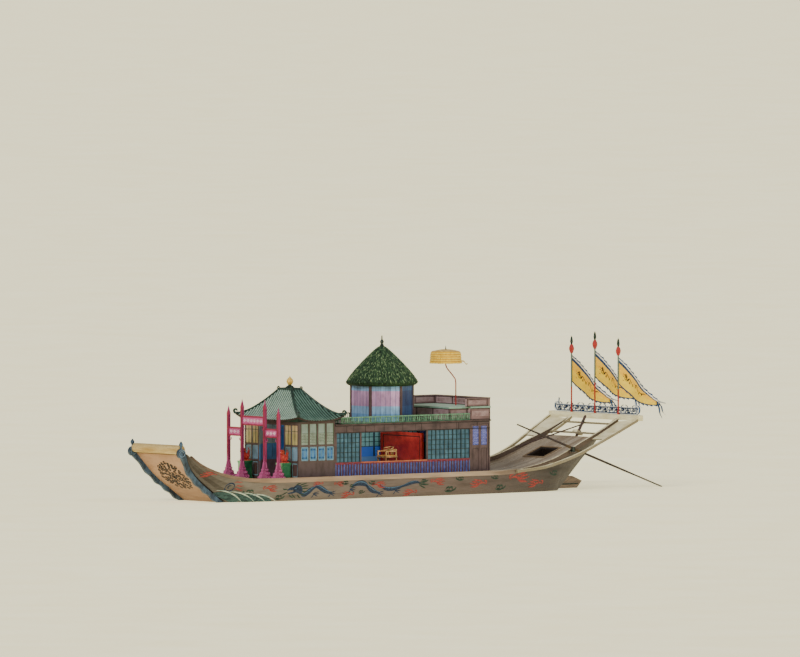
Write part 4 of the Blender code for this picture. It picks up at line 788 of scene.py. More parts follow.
turn = np.linspace(0, 1, 9)
hook_y, hook_z = 0.11 * turn - 0.03 * np.sin(2 * np.pi * turn), 0.075 * np.sin(0.62 * np.pi * turn)
hooks = []
for k, y_at in enumerate(np.linspace(-2.05, 2.05, 14)):
    way = 1 if k % 2 else -1
    hooks.append(points(-10.01, y_at + way * hook_y, RAIL_TOP - 0.004 + hook_z))
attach(tubes("scroll_rail_hooks", hooks, 0.022 * (1.0 - 0.75 * turn), fret_blue, 6), "barge")

curl = np.linspace(0, 2 * np.pi * 1.2, 25)
rolls = []
for y_at in np.linspace(-RAIL_HALF + 0.33, RAIL_HALF - 0.33, 7):
    for x_at in (-9.982, -10.038):
        for way in (1, -1):
            size = 0.075 - 0.05 * curl / curl[-1]
            rolls.append(points(x_at, y_at + way * (0.16 + size * np.cos(curl)),
                                BEAM_TOP + 0.14 + way * 0.02 + size * np.sin(curl)))
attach(tubes("scroll_rail_curls", rolls, 0.018, fret_blue, 6), "barge")


# Flagpoles
# Three turned poles stand in turned steps on the crossbeam: vermilion below the flags and grey-green
# beside them, each with a bulb of red silk thread and a dark green spear head.

POLES = {"port": (1.35, 2.75), "middle": (0.0, 2.95), "starboard": (-1.35, 2.75)}
POLE_X = -9.905


def pole_paint(name, height):
    """The bands of colour up one pole, measured from its top."""
    finish, shader, place, wear = worn_finish(name, (2, 2, 0.6), 9.0, 5.0)
    z = parts_of(place)[2]
    up = sums("DIVIDE", minus(z, BEAM_TOP), height)
    red, green, dark = (1.0 - part / height for part in (1.85, 0.60, 0.33))
    bands = ramp(up, ((0.0, "B7332E"), (red, "66786C"), (green, "C23B32"), (dark, "24362C")), "CONSTANT")
    tone = stained(bands, wear, "A8A09A", 0.7, 0.6)
    coat(shader, tone, wear, 0.3, 0.2, 0.001)
    return finish


silk_thread, shader, place, strands = worn_finish("tassel_silk", (60, 60, 1), 2.0, 3.0)
feed(shader, {"Base Color": shades(strands, "8E2226", "C23C38", 0.65, 0.35), "Roughness": 0.5,
              "Sheen Weight": 0.3})
relief(shader, strands, 0.5, 0.004)
bulb = np.array([(0.042, -0.635), (0.056, -0.60), (0.076, -0.54), (0.084, -0.47), (0.078, -0.41),
                 (0.056, -0.35), (0.036, -0.32)])
around = 2 * np.pi * np.arange(96) / 96
for name, (y_at, height) in POLES.items():
    dress(pole_paint(f"pole_{name}_paint", height), f"flagpole_{name}")
    radius = bulb[:, :1] * (1.0 + 0.05 * np.abs(np.sin(12 * around)))
    spots = points(POLE_X + radius * np.cos(around), y_at + radius * np.sin(around),
                   BEAM_TOP + height + np.broadcast_to(bulb[:, 1:], radius.shape))
    faces = grid_faces(7, 96, wrap_columns=True)
    faces += [list(range(95, -1, -1)), [6 * 96 + k for k in range(96)]]
    tassel = mesh_object(f"pole_tassel_{name}", spots, faces, silk_thread)
    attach(tassel, "barge")


# Flags
# Three-cornered silk flags, with the hoist as the short side, stream aft and droop. Each has a yellow
# field with a brushed dragon, a white hem along the top, blue flames cut in its edges, and ribbons.

FLAG_HOIST = 0.98
FLAG_FLY = 1.90
FLAG_FALL = 1.74
FLAG_CLEAR = 0.0285
FLAG_BELOW = 0.70
FLAG_BORDER = 0.11
FLAG_SEAM = 0.022
FLAG_FLAMES = 11


def pattern(piece, marks):
    """Writes pattern coordinates for the corners of a mesh from one pair for each of its points."""
    corner = np.empty(len(piece.data.loops), dtype=np.int32)
    piece.data.loops.foreach_get("vertex_index", corner)
    layer = piece.data.uv_layers.new(name="UVMap")
    layer.data.foreach_set("uv", np.asarray(marks, float)[corner].ravel())


def cloth(name, spots, marks, finish, thick=0.004, wrap=False):
    """A sheet of cloth from a grid of points: two faces, each half the thickness from it along the cross
    product of the grid's directions, joined round the edge. The marks are its pattern coordinates."""
    spots = np.asarray(spots, float)
    rows, columns = spots.shape[:2]
    down = np.gradient(spots, axis=0)
    over = np.roll(spots, -1, axis=1) - np.roll(spots, 1, axis=1) if wrap else np.gradient(spots, axis=1)
    out = np.cross(over, down)
    out *= thick / 2 / np.linalg.norm(out, axis=-1, keepdims=True)
    size = rows * columns
    front = np.array(grid_faces(rows, columns, wrap_columns=wrap))
    number = np.arange(size).reshape(rows, columns)
    rims = [np.concatenate([number[0, :-1], number[:-1, -1], number[-1, :0:-1], number[:0:-1, 0]])]
    if wrap:
        rims = [number[0], number[-1, ::-1]]
    faces = [*front.tolist(), *(front[:, ::-1] + size).tolist()]
    for rim in rims:
        after = np.roll(rim, -1)
        faces += np.stack([after, rim, rim + size, after + size], axis=1).tolist()
    piece = mesh_object(name, np.concatenate([spots + out, spots - out]), faces, finish)
    pattern(piece, np.tile(np.reshape(marks, (-1, 2)), (2, 1)))
    return piece


def flag_spot(name, down, along):
    """A point of a flag in the air: along runs from 0 at the pole to 1 at the tip, and down is in metres
    below the top edge. The top edge falls evenly aft, and the cloth swings in sine waves to the sides."""
    y_at, height = POLES[name]
    swing = 0.10 * np.sin(2.2 * np.pi * along + 0.5) * np.clip(3 * along, 0, 1)
    swing = swing + 0.022 * np.sin(17.0 * along + 4.0 * down) * np.clip(4 * along, 0, 1)
    return points(POLE_X - FLAG_CLEAR - FLAG_FLY * along, y_at + swing,
                  BEAM_TOP + height - FLAG_BELOW - FLAG_FALL * along - down)


def silk(name, stops):
    """Thin silk with bands of colour across it: each stop is a share of the way from its lower edge to
    its upper edge, and a colour."""
    finish, shader, place = new_finish(name)
    bands = ramp(parts_of(place.node.outputs["UV"])[1], stops, "CONSTANT")
    cloud = noise(place, (1, 1, 1), 5.0, 5.0)
    weave = noise(place, (1, 1, 8), 60.0, 2.0)
    tone = mixed(bands, shades(cloud, "EBD8B8", "FFFFFF", 0.6, 0.32), 0.45, "MULTIPLY")
    coat(shader, tone, weave, 0.45, 0.15, 0.001, swing=0.2)
    return finish


flag_silk = silk("flag_silk", ((0.0, "1E3D66"), (0.10, "FFD83E"), (0.38, "FFC838"), (0.61, "1E3D66"),
                               (0.72, "FAF8F0"), (0.86, "24487A")))
ribbon_silk = silk("ribbon_silk", ((0.0, "24487A"), (0.36, "F4F2E8"), (0.64, "24487A")))
tail_silk = silk("tail_silk", ((0.0, "2A5488"), (0.45, "16335A")))
along = np.linspace(0, 0.97, 111)[None, :]
s = np.linspace(0, 3, 19)[:, None]
wide = FLAG_HOIST * (1 - along ** 2.2)
hem, seam = np.minimum(FLAG_BORDER, wide / 3), np.minimum(FLAG_SEAM, wide / 3)
saw = (FLAG_FLAMES * along) % 1.0
flame = 0.055 * saw ** 1.6 * np.clip(6 * along, 0, 1)
down = np.clip(s, 0, 1) * hem + np.clip(s - 1, 0, 1) * (wide - hem - seam) + np.clip(s - 2, 0, 1) * seam
down = down - flame * np.clip(1 - s, 0, 1) + flame * np.clip(s - 2, 0, 1)
level = np.interp(s.ravel(), (0, 1, 2, 3), (1.0, 0.68, 0.08, 0.0))[:, None]
marks = points(along * 2.0, level)

flag_dragon = np.concatenate([np.array(BODY), np.array(HEAD), np.array(MANE),
                              (feet[:, None, None] + CLAWS).reshape(-1, 4, 2)])
flag_widths = np.concatenate([np.array((0.17, 0.15, 0.17, 0.15, 0.13, 0.11)),
                              np.array((0.11, 0.06, 0.16, 0.17)), np.full(len(MANE), 0.07),
                              np.full(4 * len(feet), 0.07)]) * 0.22
dragon_run = 0.17 + (5.7 - flag_dragon[..., 0]) * 0.185
dragon_mid = FLAG_HOIST * (1 - (dragon_run / FLAG_FLY) ** 2.2) / 2 - 0.02
dragon_rise = (flag_dragon[..., 1] - 0.90) * 0.50 * np.clip(1.3 - dragon_run / FLAG_FLY, 0, 1)
flag_strokes = brush(points(dragon_run, dragon_mid - dragon_rise), flag_widths, 0.5)
dab_run = 0.18 + 0.125 * np.arange(9)
dab_share = 1 - (dab_run / FLAG_FLY) ** 2.2
dab_down = (FLAG_HOIST / 2 + 0.17 * np.cos(2.6 * np.arange(9))) * dab_share
DAB = np.array(((-0.022, 0.0), (-0.008, 0.014), (0.008, 0.014), (0.022, 0.0)))
dabs = brush(points(dab_run, dab_down)[:, None] + DAB, np.full(9, 0.026), 0.4)
TAILS = {"upper": ((1.80, 1.69), (1.90, 1.80), (1.96, 2.03), (2.06, 2.12)),
         "lower": ((1.72, 1.66), (1.78, 1.89), (1.86, 2.02), (1.90, 2.24))}
STREAMER = ((1.06, 0.94), (1.34, 1.15), (1.60, 1.67), (2.08, 1.70))


def streamer(name, label, curve, width, finish):
    """A ribbon that leaves the flag along a cubic Bezier curve of (metres aft, metres down) points."""
    t = np.linspace(0, 1, 33)
    run, fall = bezier(curve, t).T
    slope = np.arctan2(np.gradient(fall), np.gradient(run))
    half = width / 2 * (1 - 0.8 * t ** 2)
    side = np.linspace(1, -1, 5)[:, None]
    y_at, height = POLES[name]
    swing = flag_spot(name, 0.0 * run, np.clip(run / FLAG_FLY, 0, 1))[:, 1]
    swing = swing + 0.006 + 0.05 * t * np.sin(7 * t)
    spots = points(POLE_X - FLAG_CLEAR - run + side * half * np.sin(slope), swing,
                   BEAM_TOP + height - FLAG_BELOW - fall + side * half * np.cos(slope))
    ribbon = cloth(f"flag_{label}_{name}", spots, points(t, 0.5 + 0.5 * side), finish, 0.003)
    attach(ribbon, "barge")
    return ribbon


for name in POLES:
    flag = cloth(f"flag_cloth_{name}", flag_spot(name, down, along), marks, flag_silk)
    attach(flag, "barge")
    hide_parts(f"flag_{name}")
    sewn = [streamer(name, "streamer", STREAMER, 0.12, ribbon_silk)]
    sewn += [streamer(name, f"tail_{part}", curve, 0.105, tail_silk) for part, curve in TAILS.items()]
    for label, strokes, finish in (("dragon", flag_strokes, ink), ("dots", dabs, red_brush)):
        spots = flag_spot(name, strokes[..., 1], strokes[..., 0] / FLAG_FLY)
        sewn.append(two_skins(f"flag_{label}_{name}", spots + (0, 0.0045, 0),
                              spots[:, :, ::-1] - (0, 0.0045, 0), finish))


# Gateway
# A ceremonial gateway of four pointed posts stands across the fore deck. It is carved wood painted rose,
# with paler panels of white lozenges in its boards and cloud-scrolled feet that wedge the posts.

GATE_X = 5.59
GATE_BASE = 1.2203
GATE_POSTS = ((-1.45, 2.33), (-0.66, 2.58), (0.66, 2.58), (1.45, 2.33))
GATE_BOARDS = ((-0.66, 0.66, 1.96, 2.30, 6), (-1.45, -0.66, 1.56, 1.88, 3), (0.66, 1.45, 1.56, 1.88, 3))
FOOT_PROFILE = ((0.0, 0.28), (0.06, 0.28), (0.24, 0.20), (0.36, 0.13), (0.68, 0.07))

gate_finish, shader, place, wear = worn_finish("rose_paint", (1.5, 1.5, 0.5), 6.0)
# Faces turned to port and starboard get a darker copy of the rose: painted shade.
rose = two_tone(wear, ("B24478", "D6609A"), ("7E2350", "9C3767"), faces_axis(place, 1, 0.5))
post = sums("MULTIPLY_ADD", parts_of(place)[2], 3.0, -5.6, clamp=True)
crimson = shades(wear, "84203C", "A8324C")
narrow = above(extent(minus(parts_of(place)[0], GATE_X)), 0.03)
tone = mixed(rose, crimson, times(post, narrow))
coat(shader, tone, wear, 0.35, 0.25, 0.002)
dress(gate_finish, "gateway")

rose_dark = brush_paint("rose_dark", "9A2C60", "6E1D45", 14.0)
white_brush = brush_paint("lozenge_white", "FAE6EE", "E8B8D0", 14.0)
rose_pale = brushed("rose_pale", "E67FB0", "C85A92", scale=9.0, rough=0.5)
rose_light = brushed("rose_light", "DD7FAE", "C25A90", scale=9.0, rough=0.5)
bars, diamonds = [], []
for near, far, low, high, count in GATE_BOARDS:
    for way in (1, -1):
        face_x = GATE_X + way * 0.0205
        bars.append(((face_x, near + 0.10, GATE_BASE + low + 0.085),
                     (face_x + way * 0.006, far - 0.10, GATE_BASE + high - 0.085)))
        for y_at in near + 0.10 + (far - near - 0.20) * (np.arange(count) + 0.5) / count:
            diamonds.append((face_x + way * 0.007, y_at, GATE_BASE + (low + high) / 2, way))
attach(boxes("gateway_inlays", bars, rose_pale), "barge")
diamonds = np.array(diamonds)
corners = np.array(((0, 0.075, 0), (0, 0, 0.058), (0, -0.075, 0), (0, 0, -0.058)))
flip = points(1, diamonds[:, 3], 1)[:, None]
base = diamonds[:, None, :3] + np.concatenate([corners, 0.45 * corners]) * flip
spots = np.concatenate([base, base + diamonds[:, None, 3:] * (0.006, 0, 0)], axis=1)
ring = [[k, (k + 1) % 4, 4 + (k + 1) % 4, 4 + k] for k in range(4)]
quads = [[n + 8 for n in face] for face in ring] + [face[::-1] for face in ring]
quads += [[(k + 1) % 4, k, 8 + k, 8 + (k + 1) % 4] for k in range(4)]
quads += [[4 + k, 4 + (k + 1) % 4, 12 + (k + 1) % 4, 12 + k] for k in range(4)]
faces = (16 * np.arange(len(diamonds)))[:, None, None] + np.array(quads)
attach(mesh_object("gateway_lozenges", spots, faces.reshape(-1, 4).tolist(), white_brush, False),
        "barge")


def compass(turn):
    """The directions outwards and along the rim at an angle round the vertical."""
    return np.array((np.cos(turn), np.sin(turn), 0)), np.array((-np.sin(turn), np.cos(turn), 0))


winding = np.linspace(0, 1, 22)
scrolls = []
foot_z, foot_r = np.array(FOOT_PROFILE).T
for y_at, height in GATE_POSTS:
    foot = np.array((GATE_X, y_at, GATE_BASE))
    for quarter in range(4):
        out, side = compass(np.pi / 2 * quarter)
        for level, size in ((0.125, 0.062), (0.275, 0.046), (0.40, 0.032)):
            for way in (1, -1):
                angle = 2 * np.pi * 1.15 * winding
                reach = size * (1.0 - 0.72 * winding)
                shift = way * (0.075 - 0.11 * level) + way * reach * np.cos(angle)
                z_at = level + reach * np.sin(angle)
                off = np.interp(z_at, foot_z, foot_r) * 0.965
                scrolls.append(foot + off[:, None] * out + shift[:, None] * side + points(0, 0, z_at))
        z_at = 0.46 + 0.22 * winding
        scrolls.append(foot + np.interp(z_at, foot_z, foot_r)[:, None] * out + points(0, 0, z_at))
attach(tubes("gateway_foot_scrolls", scrolls, 0.011, rose_light, 5), "barge")

brackets = []
for near, far, low, high, count in GATE_BOARDS:
    for y_at, way in ((near + 0.045, 1), (far - 0.045, -1)):
        angle = 0.5 * np.pi + 2 * np.pi * 0.85 * winding
        reach = 0.085 * (1.0 - 0.6 * winding)
        brackets.append(points(GATE_X, y_at + way * (0.075 + reach * np.cos(angle)),
                               GATE_BASE + low - 0.085 + reach * np.sin(angle)))
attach(tubes("gateway_brackets", brackets, 0.014, gate_finish, 6), "barge")

outline = []
for y_at, height in GATE_POSTS:
    for dx in (-0.045, 0.045):
        for dy in (-0.045, 0.045):
            outline.append([(GATE_X + dx, y_at + dy, GATE_BASE + 0.60 + (height - 0.62) * part)
                            for part in (0.0, 0.33, 0.67, 1.0)])
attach(tubes("gateway_post_edges", outline, 0.006, rose_dark, 5), "barge")


# Pedestals and guardian beasts
# Each side of the doorway a boxed pedestal, green with raised panels, carries a small seated guardian
# beast carved from one block and painted vermilion, with a curled mane, a plumed tail and white eyes.

PEDESTAL_X = (4.93, 5.29)
PEDESTAL_Y = 1.12
PEDESTAL_TOP = 1.8806

green_finish, shader, place, wear = worn_finish("pedestal_green", (1, 1, 1), 7.0, 5.0)
# The faces toward port and starboard are painted a dark copy of the green: painted shade.
tone = two_tone(wear, ("78C47E", "A8E8A0"), ("1E5A3C", "2F7A4E"), faces_axis(place, 1, 0.5))
coat(shader, tone, wear, 0.35, 0.25, 0.002)
dress(green_finish, "pedestal_port", "pedestal_starboard")

beast_finish, shader, place, wear = worn_finish("beast_red", (1, 1, 1), 16.0)
coat(shader, ramp(wear, ((0.30, "8E2424"), (0.50, "C43A34"), (0.70, "E0644C"))), wear, 0.3, 0.5, 0.006)
dress(beast_finish, "beast_port", "beast_starboard")

bars, curls, eyes = [], [], []
x0, x1 = PEDESTAL_X
middle = (x0 + x1) / 2
winding = np.linspace(0, 1, 12)
for sign in (1, -1):
    y_at = sign * PEDESTAL_Y
    for low_x, low_y, high_x, high_y in ((x1 + 0.0002, -0.12, x1 + 0.007, 0.12),
                                         (x0 - 0.007, -0.12, x0 - 0.0002, 0.12),
                                         (x0 + 0.05, 0.1702, x1 - 0.05, 0.177),
                                         (x0 + 0.05, -0.177, x1 - 0.05, -0.1702)):
        bars.append(((low_x, y_at + low_y, 1.37), (high_x, y_at + high_y, 1.76)))
    head = np.array((middle + 0.09, y_at, PEDESTAL_TOP + 0.37))
    for row, (lift, count, size) in enumerate(((0.055, 5, 0.030), (0.0, 7, 0.032), (-0.06, 7, 0.030))):
        for k in range(count):
            out, side = compass(np.pi * (0.42 + 1.16 * (k + 0.5) / count))
            angle = 2 * np.pi * 1.1 * winding
            reach = size * (1 - 0.7 * winding)
            curls.append(head + out * (0.094 - 0.02 * abs(row - 1))
                         + side * (reach * np.cos(angle))[:, None]
                         + points(0, 0, lift + reach * np.sin(angle)))
    for way in (1, -1):
        angle = 2 * np.pi * winding
        curls.append(points(middle - 0.15 - 0.05 * np.sin(np.pi * winding),
                            y_at + way * 0.035 * np.sin(angle), PEDESTAL_TOP + 0.10 + 0.36 * winding))
        curls.append(points(middle + 0.172, y_at + way * (0.015 + 0.05 * winding),
                            PEDESTAL_TOP + 0.405 + 0.02 * np.sin(np.pi * winding)))
        eyes.append((middle + 0.173, y_at + way * 0.040, PEDESTAL_TOP + 0.385))
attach(boxes("pedestal_panels", bars, green_finish), "barge")
mane_finish = brush_paint("beast_mane", "D9603F", "7C1E20", 20.0)
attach(tubes("beast_manes", curls, 0.010, mane_finish, 6), "barge")
theta, phi = np.meshgrid(np.linspace(0, np.pi, 7), 2 * np.pi * np.arange(10) / 10, indexing="ij")
globe = points(np.sin(theta) * np.cos(phi), np.sin(theta) * np.sin(phi), np.cos(theta))
spots = np.array(eyes)[:, None, None] + 0.017 * globe
eye_finish = brushed("eye_white", "F2EFE4", "CFC8B8", (1, 1, 1), 30.0, 0.3)
faces = [face[::-1] for face in grid_faces(7, 10, len(eyes), wrap_columns=True)]
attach(mesh_object("beast_eyes", spots, faces, eye_finish), "barge")


# Pavilion walls
# Posts and rails of dark lacquered wood hold cream and light blue panels in front. At the sides the
# upper panels are grey-green boards with a band of pierced dots, above painted blue panels and a
# plinth. Inside stands a screen wall, painted blue above and red below.

PAVILION_FORE = 4.78
CABIN_FORE = 3.13
CABIN_HALF = 1.57
PAVILION_X = (PAVILION_FORE + CABIN_FORE) / 2
PAVILION_FOOT = 1.22
PAVILION_TALL = 2.11
PANEL_SINK = 0.0198

wall_finish, shader, place = new_finish("pavilion_paint")
x, y, z = parts_of(place)
side_on = faces_axis(place, 1, 0.6)
wear = noise(place, (1, 1, 0.5), 5.0, 6.0)
height = sums("DIVIDE", minus(z, PAVILION_FOOT), PAVILION_TALL)
fore_bands = ramp(height, ((0.0, "5E4644"), (0.31, "7A9CB4"), (0.58, "BFB078"), (0.80, "CBB083"),
                           (0.97, "4E3C3A")), "CONSTANT")
side_bands = ramp(height, ((0.0, "7A6A6E"), (0.31, "5B8CB2"), (0.58, "909F90"), (0.80, "90A29A"),
                           (0.97, "5A4A4A")), "CONSTANT")
panel = mixed(fore_bands, side_bands, side_on)
deep_fore = within(x, PAVILION_FORE - 0.03, 0.0285)
deep_side = below(extent(y), CABIN_HALF - 0.01)
sunk = mixed(deep_fore, deep_side, side_on)
frame_tone = ramp(height, ((0.0, "5A4A4A"), (0.30, "5A4A4A"), (0.34, "5E4E4A"), (1.0, "584846")))
tone = mixed(frame_tone, panel, sunk)
tone = stained(tone, wear, "BBB2A8")
coat(shader, tone, wear, 0.35, 0.25, 0.002)
dress(wall_finish, "pavilion_front", "pavilion_side_port", "pavilion_side_starboard")

screen_finish, shader, place, wear = worn_finish("screen_paint", (1, 1, 0.4), 5.0)
x, y, z = parts_of(place)
height = sums("DIVIDE", minus(z, PAVILION_FOOT), PAVILION_TALL)
tone = ramp(height, ((0.0, "B43C46"), (0.40, "3A72C4"), (0.72, "4A80C8"), (1.0, "5A7090")), "CONSTANT")
proud = above(x, 3.1985)
tone = mixed(tone, linear("5A80B0"), proud)
tone = stained(tone, wear, "A9A29A")
coat(shader, tone, wear, 0.35, 0.2, 0.002)
dress(screen_finish, "inner_screen")

mullion_green = brushed("mullion_green", "5E7458", "40523C", (1, 1, 0.4), 8.0, 0.5)
panel_pale = brushed("panel_pale", "98BCC8", "6E96AA", (1, 1, 0.4), 8.0, 0.5)
panel_blue = brushed("panel_blue", "5288C4", "366AA8", (1, 1, 1), 8.0, 0.5)
green_bars, pale_bars, blue_bars = [], [], []


def panel_rim(bars, plane, span, levels, width, sink, axis):
    """Adds a frame of four bars round a rectangle on a wall whose face is square to X (axis 0) or Y (1)."""
    (a, b), (c, d) = sorted(span), levels
    near, far = plane, plane + sink
    for p, q, r, s in ((a, b, c, c + width), (a, b, d - width, d), (a, a + width, c, d),
                       (b - width, b, c, d)):
        bars.append(((near, p, r) if axis == 0 else (p, near, r),
                     (far, q, s) if axis == 0 else (q, far, s)))


for sign in (1, -1):
    for near, far in ((0.79, 1.11), (1.18, 1.50)):
        span = sorted((sign * near, sign * far))
        plane = PAVILION_FORE - PANEL_SINK
        y_at = (span[0] + span[1]) / 2
        green_bars.append(((plane, y_at - 0.011, 2.51), (plane + 0.010, y_at + 0.011, 3.20)))
        green_bars.append(((plane, span[0], 2.98), (plane + 0.010, span[1], 3.0)))
        panel_rim(pale_bars, plane, span, (1.96, 2.42), 0.030, 0.008, 0)
        panel_rim(pale_bars, plane, span, (1.36, 1.85), 0.030, 0.008, 0)
    posts = np.linspace(3.165, 4.685, 5)
    for near, far in zip(posts[:-1] + 0.03, posts[1:] - 0.03):
        plane = sign * (CABIN_HALF - PANEL_SINK)
        green_bars.append(((near, plane, 2.51), (near + 0.018, plane + sign * 0.010, 3.25)))
        green_bars.append(((far - 0.018, plane, 2.51), (far, plane + sign * 0.010, 3.25)))
        panel_rim(pale_bars, plane, (near, far), (1.945, 2.435), 0.022, 0.010, 1)
        panel_rim(blue_bars, plane, (near + 0.06, far - 0.06), (2.02, 2.36), 0.05, 0.006, 1)
for name, bars, finish in (("pavilion_mullions", green_bars, mullion_green),
                           ("pavilion_panel_rims", pale_bars, panel_pale),
                           ("pavilion_panel_insets", blue_bars, panel_blue)):
    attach(boxes(name, bars, finish), "barge")

# The pierced holes are drawn as dark discs standing just proud of the boards: painted shade where the holes
# are.
dots = []
for sign in (1, -1):
    for near, far in zip(posts[:-1] + 0.055, posts[1:] - 0.055):
        for row, z_at in enumerate(np.linspace(2.60, 2.92, 7)):
            for x_at in np.arange(near + 0.02 + 0.022 * (row % 2), far - 0.01, 0.044):
                dots.append((x_at, sign * (CABIN_HALF - 0.0195), z_at, sign))
dots = np.array(dots)
ring = 2 * np.pi * np.arange(6) / 6
disc = points(0.013 * np.cos(ring), 0, 0.013 * np.sin(ring))
base = dots[:, None, :3] + disc
rise = base + dots[:, None, 3:] * (0.0, 0.003, 0.0)
spots = np.concatenate([base, rise], axis=1)
first = 12 * np.arange(len(dots))[:, None]
walls = np.array([(k, (k + 1) % 6, 6 + (k + 1) % 6, 6 + k) for k in range(6)])
turned_round = dots[:, 3] > 0
faces = []
for start, flip in zip(first[:, 0], turned_round):
    tops = [list(range(start + 6, start + 12)), list(range(start + 5, start - 1, -1))]
    sides = (walls + start).tolist()
    faces += [face[::-1] for face in tops + sides] if flip else tops + sides
hole_shade_paint = brush_paint("dot_paint", "3A3A34", "23241F", 30.0)
pierced = mesh_object("pavilion_pierced_dots", spots, faces, hole_shade_paint, False)
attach(pierced, "barge")


# Pavilion roof
# Four concave slopes of green glazed tiles: half-round rolls laid up the slope over flat pans, thick hip
# rolls that curl up at the corners, a dark moulded collar and a gilded ball.

EAVE_HALF_X = (PAVILION_FORE - CABIN_FORE) / 2 + 0.17
EAVE_HALF_Y = CABIN_HALF + 0.20
EAVE_Z = 3.38
RIDGE_Z = 4.42
ROLL_GAP = 0.115
ROLL_RADIUS = 0.031
TOP_SHARE = 0.20


def roof_spot(u, v, up):
    """A point of the tiled slopes: u and v run from -1 to 1 across the eaves, up from 0 to 1. The plan
    shrinks evenly to a fifth, the height grows as up to the power 1.25, and the corners lift."""
    corner = np.minimum(np.abs(u), np.abs(v)) ** 3
    fade = corner * (1 - up) ** 3
    shrink = (1 - (1 - TOP_SHARE) * up) * (1 + 0.02 * fade)
    z = EAVE_Z + (RIDGE_Z - EAVE_Z) * up ** 1.25 + 0.15 * fade
    return points(PAVILION_X + u * EAVE_HALF_X * shrink, v * EAVE_HALF_Y * shrink, z)


def side_slopes(place):
    """1 on the slopes toward port and starboard, and 0 on those toward bow and stern."""
    x, y, z = parts_of(place)
    return above(times(extent(y), EAVE_HALF_X), times(extent(minus(x, PAVILION_X)), EAVE_HALF_Y))


# The slopes toward port and starboard are painted a darker green than those toward bow and stern, as shade.
tile_finish, shader, place, wear = worn_finish("green_tile", (1, 1, 1), 2.5, 5.0, gloss=0.4)
tone = two_tone(wear, ("94AEA0", "AEC8B8"), ("4E6E64", "628276"), side_slopes(place))
courses = seam_lines(parts_of(place)[2], 0.11, 0.010)
tone = mixed(tone, linear("1E332B"), times(courses, 0.25))
coat(shader, tone, wear, 0.15, 0.3, 0.004, swing=0.25, height=sums("MULTIPLY_ADD", courses, -0.6, wear))
# The pans on the port and starboard slopes are painted darker as shade, like the rolls.
pan_finish, shader, place, wear = worn_finish("tile_pans", (1, 1, 1), 7.0)
tone = two_tone(wear, ("1E3A31", "2B4C40"), ("0E1B17", "172A23"), side_slopes(place))
coat(shader, tone, wear, 0.3, 0.2, 0.003, swing=0.25)
dress(pan_finish, "pavilion_roof")

climb = np.linspace(0.0, 1.0, 12)
rolls = []
for half, other in ((EAVE_HALF_Y, "x"), (EAVE_HALF_X, "y")):
    count = int((2 * half - 0.10) / ROLL_GAP)
    offsets = (np.arange(count) - (count - 1) / 2) * ROLL_GAP
    for offset in offsets:
        top_up = min(1.0, (1 - abs(offset) / half) / (1 - TOP_SHARE)) * 0.985
        up = climb * top_up
        slide = offset / (half * (1 - (1 - TOP_SHARE) * up))
        for sign in (1, -1):
            face = np.full(12, float(sign))
            path = roof_spot(face, slide, up) if other == "x" else roof_spot(slide, face, up)
            path[:, 2] += 0.006
            start = path[0] - (path[1] - path[0]) * 0.10
            rolls.append(np.concatenate([[start], path[1:]]))
tile_rolls = tubes("roof_tile_rolls", rolls, ROLL_RADIUS, tile_finish, 6)
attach(tile_rolls, "barge")

dark_tile = brushed("dark_tile", "2E4C42", "15241F", (1, 1, 1), 8.0, 0.3)
hips = []
up = np.linspace(1.0, 0.0, 22)
turn = np.linspace(0, 1, 14)[1:]
for u, v in ((1, 1), (-1, 1), (-1, -1), (1, -1)):
    line = roof_spot(np.full(22, float(u)), np.full(22, float(v)), up) + (0, 0, 0.022)
    out = line[-1] - line[-2]
    out[2] = 0
    out /= np.linalg.norm(out)
    angle = -0.5 * np.pi + 1.55 * np.pi * turn
    size = 0.080 * (1 - 0.45 * turn)
    centre = line[-1] + out * 0.02 + np.array((0, 0, 0.085))
    curl = centre + out * (size * np.cos(angle))[:, None] + points(0, 0, size * np.sin(angle))
    hips.append(np.concatenate([line, curl]))
hip_radius = np.concatenate([np.full(22, 0.050), 0.050 * (1 - 0.45 * turn)])
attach(tubes("roof_hips", hips, hip_radius, dark_tile, 8), "barge")

around = np.linspace(0, 2 * np.pi, 49)[:-1]
collar_plan = roof_spot(np.clip(1.35 * np.cos(around), -1, 1), np.clip(1.35 * np.sin(around), -1, 1),
                        np.full(48, 1.0))
loops = [np.concatenate([collar_plan, collar_plan[:2]]) + (0, 0, lift) for lift in (0.0, 0.034)]
curls = []
for angle_at in np.pi / 4 + np.pi / 2 * np.arange(4):
    out = compass(angle_at)[0]
    foot = roof_spot(np.sign(out[:1]), np.sign(out[1:2]), np.ones(1))[0]
    angle = -0.4 * np.pi + 1.6 * np.pi * turn
    size = 0.045 * (1 - 0.5 * turn)
    curls.append(foot + (0, 0, 0.07) + out * (0.02 + size * np.cos(angle))[:, None]
                 + points(0, 0, size * np.sin(angle)))
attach(tubes("roof_collar", loops, 0.034, dark_tile, 8), "barge")
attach(tubes("roof_collar_curls", curls, 0.034 * (1 - 0.5 * turn), dark_tile, 6), "barge")

gold_finish, shader, place, wear = worn_finish("gold_leaf", (1, 1, 1), 14.0)
gilt = shades(wear, "C6973F", "EFCB6E", 0.6)
base = below(parts_of(place)[2], RIDGE_Z + 0.17)
coat(shader, mixed(gilt, linear("1C3029"), base), wear, 0.25, 0.25, 0.002)
feed(shader, {"Metallic": 0.3})
dress(gold_finish, "pavilion_finial")

drip = []
edge = np.linspace(-1, 1, 61)
for u, v in ((np.ones(61), edge), (-np.ones(61), edge), (edge, np.ones(61)), (edge, -np.ones(61))):
    drip.append(roof_spot(u, v, np.zeros(61)) - (0, 0, 0.028))
eave_board = brushed("eave_board", "4E3C36", "2E2420", (1, 1, 1), 6.0, 0.5)
eaves = tubes("roof_eave_boards", drip, 0.024, eave_board, 6)
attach(eaves, "barge")


